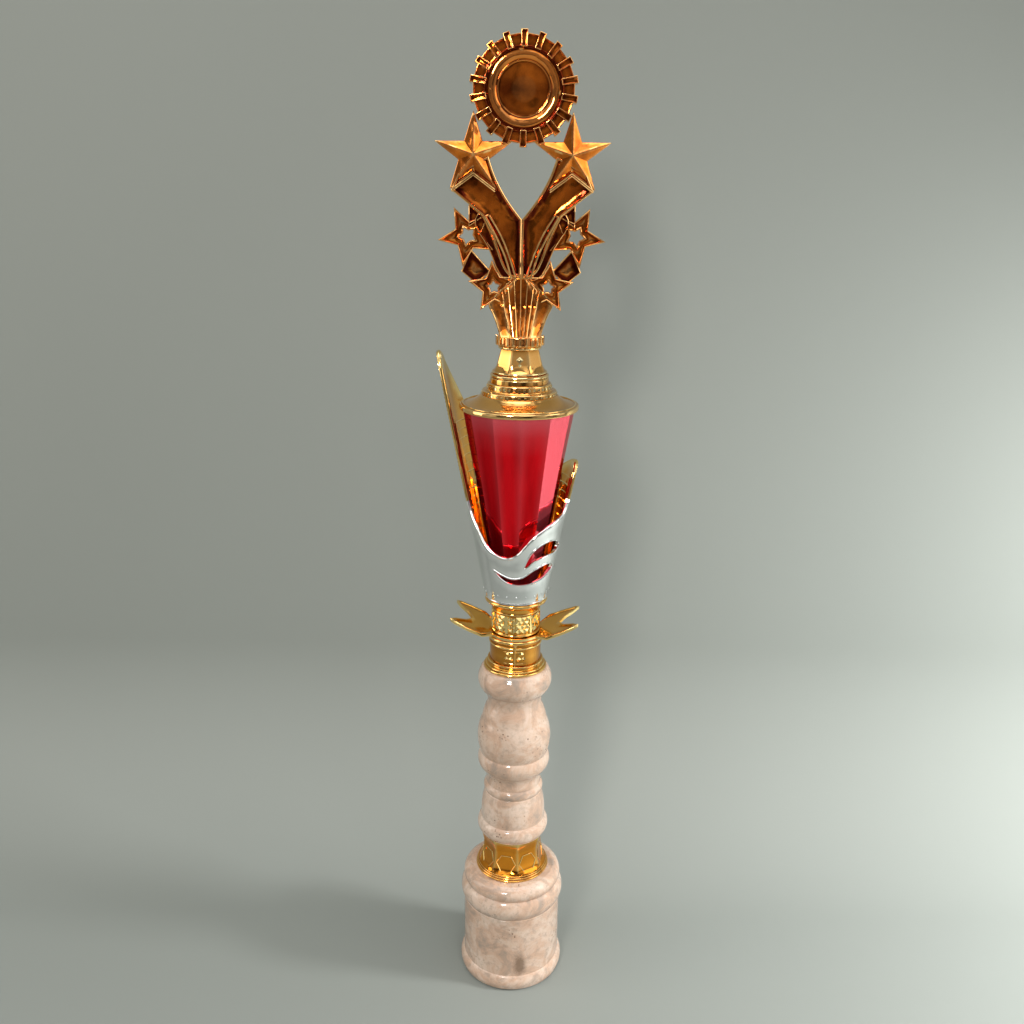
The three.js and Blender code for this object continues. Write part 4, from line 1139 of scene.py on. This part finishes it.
def makeNeck():
    n, low, look = neck, seat("neck"), looks["paleGoldPlating"]
    h, corner, wall = n["tall"], math.radians(n["corner"]), n["wall"]
    foot = (Profile(n["foot"] - wall, 0).line(n["bead"] - 0.6, 0).bead(n["bead"] - 0.7, 1.9)
            .line(n["bead"] - 1.2, 2.1).bead(n["bead"] - 1.3, 3.3, 6))
    outline = [(r, z, 0) for r, z in foot.points]
    for i in range(9):
        z = n["low"] + (n["high"] - n["low"]) * i / 8
        outline.append((neckRadius(z), z, min(1.0, i / 1.5)))
    top = Profile(n["top"] - 0.2, 14.0).bead(n["top"] - 0.1, 15.6).line(n["top"] - 0.4, h)
    outline += [(r, z, 0) for r, z in top.points]
    outline += [(n["bore"], h, 0), (n["bore"], h - wall, 0), (n["top"] - 2.2, h - wall, 0),
                (n["foot"] - wall, 3, 0)]
    body = turned([(r, z + low, s) for r, z, s in outline], section=flatSided(n["sides"], corner, n["blunt"]),
                  angles=flatSidedAngles(n["sides"], corner, 10, n["blunt"]), sharp=20)
    parts = [body]
    slant = math.degrees(math.atan(n["taper"] / (n["high"] - n["low"])))
    for z, size in n["gems"]:
        gem = stud(size, size, n["gemHigh"], top=0.1)
        parts.append(onFront(gem, neckRadius(z) * math.cos(math.pi / n["sides"]), low + z, 90 - slant, 45))
    makePiece("neck_plated", parts, look, "stand", "pale_gold", "neck")


bigStar = dict(at=(23.1, 88), outer=19.2, inner=7.4, turn=90, rim=2.2, peak=6.0)
middleStar = dict(at=(25.9, 51.5), outer=14.6, inner=6.6, turn=63.5, hole=4.0, half=2.5)
lowerStar = dict(at=(13.1, 27.6), outer=12.9, inner=6.0, turn=85, hole=2.9, half=3.2)
medallion = dict(bar=25, block=23.3, rim=18.0, dish=16.9, floor=12.2, deep=1.5, lean=0.7, bars=18, half=4.5,
                 blockHalf=3.4, barWidth=3.3, blockShare=0.98, broken=0.16, longest=2.4)
tailInner = [(0, 59.3), (5, 65.5), (9.6, 72.4), (13.4, 80), (16, 87.5)]
tailOuter = [(33.6, 72.2), (27.4, 67.5), (18.9, 60.7), (14, 51), (10.6, 41), (7.6, 35), (3.3, 31.5)]
sideTail = [(19.6, 62), (22.4, 56.5), (16, 46), (10.4, 33.5), (4.5, 31.2), (9.5, 40), (13.5, 50)]
diamond = [(24.4, 45.6), (14.4, 34.9), (22, 29.2), (29, 34.9)]
webbing = [(25.4, 55.4), (25.4, 66.0), (18.3, 60.4)]
# [height, half width, half depth] of the stem, from its foot to a thin fan
fan = [(4.4, 9.9, 9.2), (8, 10.9, 7.8), (11.5, 12.1, 6.5), (15, 13.5, 5.2), (19.5, 15.5, 3.9),
       (23.5, 12.6, 3.6), (27, 9.2, 3.5), (34, 1.6, 3.5)]
fanRibs = dict(side=3, pitch=0.17, groove=0.35, fall=0.45, thick=0.25, edge=0.4, straight=21, root=-22,
               spread=0.373)
# ribs on each tail as [x, height], how proud they stand and how thick they are
tailRibs = (([(17.5, 60.5), (11.5, 50), (7.4, 41), (4.6, 31.5)], 3.3, 0.55),
            ([(15.5, 61), (9.5, 51), (5.4, 41), (2.4, 31.5)], 3.1, 0.5))
# two lines under each big star: how far below it and how thick
chevron = dict(lines=((0.7, 0.4), (1.7, 0.35)), reach=0.9, proud=3.4)
foot = dict(radius=12.1, tall=4.4, teeth=24, deep=0.9)


def starLoop(star, outer=None, inner=None):
    outer, inner = outer or star["outer"], inner or star["inner"]
    loop = []
    for i in range(10):
        angle = math.radians(star["turn"] + 36 * i)
        radius = inner if i % 2 else outer
        loop.append((star["at"][0] + radius * math.cos(angle), star["at"][1] + radius * math.sin(angle)))
    return loop


def medallionCentre():
    tip = starLoop(bigStar)[2]  # the point that reaches towards the medallion
    return tip[1] + math.sqrt((medallion["block"] - 0.3) ** 2 - tip[0] ** 2)


# edges longer than the given length are cut, so that the painted highlights and shade which follow the edges
# stay close to them
def refined(work, longest):
    for _ in range(6):
        long = [e for e in work.edges if e.calc_length() > longest * mm]
        if not long:
            break
        bmesh.ops.subdivide_edges(work, edges=long, cuts=1, use_grid_fill=True)
        bmesh.ops.triangulate(work, faces=[f for f in work.faces if len(f.verts) > 3])


# both faces rise to a peak over ten flat sides, with the edges broken so that they catch the light
def peakedStar():
    loop, (x0, z0) = starLoop(bigStar), bigStar["at"]
    points = [(x, -bigStar["rim"], z) for x, z in loop] + [(x, bigStar["rim"], z) for x, z in loop]
    points += [(x0, -bigStar["peak"], z0), (x0, bigStar["peak"], z0)]
    faces = []
    for i in range(10):
        after = (i + 1) % 10
        faces += [(i, after, 20), (10 + after, 10 + i, 21), (i, 10 + i, 10 + after, after)]
    mesh = meshOf(points, faces, 10)
    return brokenEdges(mesh, 0.3, 18, longest=1.6)


def brokenEdges(mesh, width, over, segments=2, longest=None):
    work = bmesh.new()
    work.from_mesh(mesh)
    edges = [e for e in work.edges if len(e.link_faces) == 2 and e.calc_face_angle() > math.radians(over)]
    bmesh.ops.bevel(work, geom=edges, offset=width * mm, offset_type="OFFSET", segments=segments, profile=0.6,
                    affect="EDGES", clamp_overlap=True)
    if longest:
        refined(work, longest)
    work.to_mesh(mesh)
    work.free()
    mesh.shade_smooth()
    mesh.set_sharp_from_angle(angle=math.radians(9))
    return mesh


def raisedRim(half, wide, drop):
    return [(0, half - 0.55), (0.18, half - 0.15), (0.4, half), (wide - 0.35, half), (wide - 0.1, half - 0.3),
            (wide + 0.2, half - drop)]


def openStar(star):
    hole = starLoop(star, star["hole"], star["hole"] * 0.6)[::-1]
    return reliefPlate(starLoop(star), [hole], raisedRim(star["half"], 0.95, 1.1), 1.0,
                       floor=lambda d, x, z: 0.35 * min(1, d / 1.5))


def makeTail():
    inner = smoothThrough(tailInner, 6)
    outer = smoothThrough(tailOuter[2:], 6)
    loop = [(0.0, 31.5)] + outer[::-1] + [tailOuter[1], tailOuter[0]] + [(30, 80)] + inner[::-1]
    return reliefPlate(loop, [], raisedRim(3.6, 1.35, 1.3), 1.3,
                       floor=lambda d, x, z: -1.1 * (1 - math.exp(-d / 2.0)))


def medallionParts(look):
    m, z0 = medallion, medallionCentre()
    half, floorAt = m["half"], m["half"] - m["deep"]
    face = Profile(0, floorAt + 0.25).line(m["floor"] * 0.4, floorAt + 0.2)
    face.arc(m["floor"] - 0.6, floorAt, 0.05, 6)
    face.arc(m["floor"] + 0.3, floorAt + 0.1, -0.1, 4).arc(m["dish"] - 0.2, half - 0.75, -0.6, 12)
    face.arc(m["dish"] + 0.1, half - 0.2, 0.08, 3).bead(m["rim"], half - 0.2, 8)
    face.line(m["rim"] + 0.25, half - 1.3)
    closed = [(r, -z) for r, z in face.points] + face.points[::-1]
    disc = turned(closed[::-1], 144, sharp=34)
    first, wide = m["rim"] - 0.4, m["barWidth"] / 2
    bar = [(first, -wide * 0.86), (m["bar"], -wide), (m["bar"], wide), (first, wide * 0.86)]
    pitch = math.pi / m["bars"]
    block = [(r, side * r * math.tan(pitch) * m["blockShare"]) for r, side in
             ((first, -1), (m["block"], -1), (m["block"], 1), (first, 1))]
    barMesh = brokenEdges(framedPrism(bar, half, 0.45, 0.35), m["broken"], 25, longest=m["longest"])
    leant(barMesh, m)
    blockMesh = framedPrism(block, m["blockHalf"], 0.55, 0.8)
    blockMesh = brokenEdges(blockMesh, m["broken"], 25, longest=m["longest"])
    parts = [disc, ringOf(barMesh, look, m["bars"], math.radians(90)),
             ringOf(blockMesh, look, m["bars"], math.radians(90) + pitch)]
    turn = Matrix.Translation((0, 0, z0 * mm)) @ Matrix.Rotation(math.radians(90), 4, "X")
    return [placed(part, turn) for part in parts]


# each bar grows thinner towards its outer end
def leant(mesh, m):
    for vertex in mesh.vertices:
        along = (vertex.co.x / mm - m["rim"]) / (m["bar"] - m["rim"])
        vertex.co.z *= 1 - m["lean"] / m["half"] * max(0.0, along)


# a prism whose two end faces are sunk inside a narrow rim
def framedPrism(loop, half, rim, sink):
    count = len(loop)
    rings = [(0, -half + 0.15), (0.15, -half), (rim, -half), (rim + sink * 0.4, -half + sink)]
    rings = [(d, -z) for d, z in rings[::-1]] + rings
    rings = rings[4:][::-1] + rings[:4][::-1]
    points, faces = [], []
    for distance, z in rings:
        points += [(x, y, z) for x, y in (inset(loop, distance) if distance else loop)]
    for level in range(len(rings) - 1):
        for i in range(count):
            a, b = level * count + i, level * count + (i + 1) % count
            faces.append((a, b, b + count, a + count))
    faces += [tuple(range(count))[::-1], tuple(range(len(points) - count, len(points)))]
    return meshOf(points, faces, 9)


# an outline in X and Y with a thickness along Z
def prism(loop, half):
    count = len(loop)
    points = [(x, y, -half) for x, y in loop] + [(x, y, half) for x, y in loop]
    walls = [(i, (i + 1) % count, (i + 1) % count + count, i + count) for i in range(count)]
    return meshOf(points, [tuple(range(count))[::-1], tuple(range(count, 2 * count))] + walls)


def fanDepth(u, depth):
    past = max(0.0, abs(u) - fanRibs["pitch"] * fanRibs["side"])
    return depth * (1 - fanRibs["fall"] * past / (1 - fanRibs["pitch"] * fanRibs["side"]))


# faceted grooves up the middle of each face, with a plain panel sloping away on each side
def fanBody(levels):
    side, pitch = fanRibs["side"], fanRibs["pitch"]
    middle = [(k * pitch / 2, fanRibs["groove"] * (k % 2)) for k in range(-2 * side, 2 * side + 1)]
    outer = [(pitch * side + (1 - pitch * side) * k / 6, 0.0) for k in range(1, 7)]
    across = [(-u, h) for u, h in outer[::-1]] + middle + outer
    points, faces = [], []
    for z, w, d in levels:
        fade = min(1.0, max(0.0, (fanRibs["straight"] - z) / 3.0))
        front = [(w * u, -fanDepth(u, d) + hollow * fade) for u, hollow in across]
        points += [(x, y, z) for x, y in front] + [(x, -y, z) for x, y in front[::-1]]
    count, rows = 2 * len(across), len(levels)
    for level in range(rows - 1):
        for i in range(count):
            a, b = level * count + i, level * count + (i + 1) % count
            faces.append((a, b, b + count, a + count))
    faces += [tuple(range(count))[::-1], tuple(range((rows - 1) * count, rows * count))]
    return meshOf(points, faces, 12)


# straight ribs that spread from the foot and end under the fan's peak, and a line along its outer edge
def fanLines(levels, look):
    lines = []
    for depth in (-1, 1):
        for k in range(-fanRibs["side"], fanRibs["side"] + 1):
            path = []
            for z, w, d in levels:
                x = k * fanRibs["pitch"] * max(w, fanRibs["spread"] * (z - fanRibs["root"]))
                if abs(x) < w - 0.3:
                    path.append((x, depth * (fanDepth(x / w, d) + 0.02), z))
            lines.append(beadOn(path, look, fanRibs["thick"]))
        for edge in (-1, 1):
            path = [(edge * (w - 0.2), depth * fanDepth(1.0, d), z) for z, w, d in levels]
            lines.append(beadOn(path, look, fanRibs["edge"]))
    return lines


def footRing(look):
    f = foot
    core = Profile(0, 0).line(f["radius"] - f["deep"] - 0.3, 0).arc(f["radius"] - f["deep"], 0.5, 0.12, 4)
    core.line(f["radius"] - f["deep"], f["tall"] - 0.5).arc(f["radius"] - f["deep"] - 0.5, f["tall"], 0.15, 4)
    core.line(0, f["tall"])
    wide = math.pi * f["radius"] / f["teeth"]
    loop = [(f["radius"] - 2, -wide / 2), (f["radius"], -wide * 0.42), (f["radius"], wide * 0.42),
            (f["radius"] - 2, wide / 2)]
    tooth = brokenEdges(prism(loop, f["tall"] / 2), 0.22, 30)
    tooth.transform(Matrix.Translation((0, 0, f["tall"] / 2 * mm)))
    return [turned(core.points, 96), ringOf(tooth, look, f["teeth"])]


def makeFigure():
    look = looks["amberPlating"]
    low = seat("figure")
    half = [peakedStar(), openStar(middleStar), openStar(lowerStar), makeTail(),
            reliefPlate(smoothThrough(sideTail, 3, closed=True)[::-1], [], raisedRim(3.2, 0.8, 0.8), 1.2),
            reliefPlate(diamond, [], raisedRim(2.2, 1.1, 0.9), 1.4,
                        floor=lambda d, x, z: 0.5 * min(1, d / 2.5))]
    half.append(reliefPlate(webbing, [], raisedRim(2.6, 0.7, 0.7), 1.0))
    star = starLoop(bigStar)
    notch = Vector(star[5])
    down = (notch - Vector(bigStar["at"])).normalized()
    left, right = (notch.lerp(Vector(star[i]), chevron["reach"]) for i in (4, 6))
    for depth in (-1, 1):
        for away, thick in chevron["lines"]:
            path = [(p.x + down.x * away, depth * chevron["proud"], p.y + down.y * away)
                    for p in (left, notch, right)]
            half.append(beadOn(path, look, thick))
        for rib, proud, thick in tailRibs:
            path = [(x, depth * proud, z) for x, z in smoothThrough(rib, 5)]
            half.append(beadOn(path, look, thick))
    parts = list(half)
    for mesh in half:
        parts.append(placed(mesh.copy(), Matrix.Scale(-1, 4, (1, 0, 0))))
    parts += medallionParts(look)
    levels = smoothThrough(fan, 5)
    parts += [fanBody(levels), *fanLines(levels, look), *footRing(look)]
    for part in parts:
        part.transform(Matrix.Translation((0, 0, low * mm)))
    makePiece("figure_casting", parts, look, "figure", "amber_gold", "figure")


# the fasteners keep their CAD shapes and get a finish each
def dressFasteners():
    steel, brassFinish = metalLook("zincSteel"), metalLook("turnedBrass")
    for name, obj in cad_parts.items():
        if obj.hide_render:
            continue
        obj.data.materials.clear()
        obj.data.materials.append(brassFinish if name == "figure_insert" else steel)


makeCamera()
makeBackdrop()
makeLights()
makeWorld()
print("camera, backdrop and lights made")
makeFelt()
makeBaseStone()
makeBaseCollar()
makeColumn()
makeSpool()
makeCrown()
makeSocket()
makeSleeve()
makeCup()
makeLid()
makeNeck()
makeFigure()
dressFasteners()
print("pieces made")
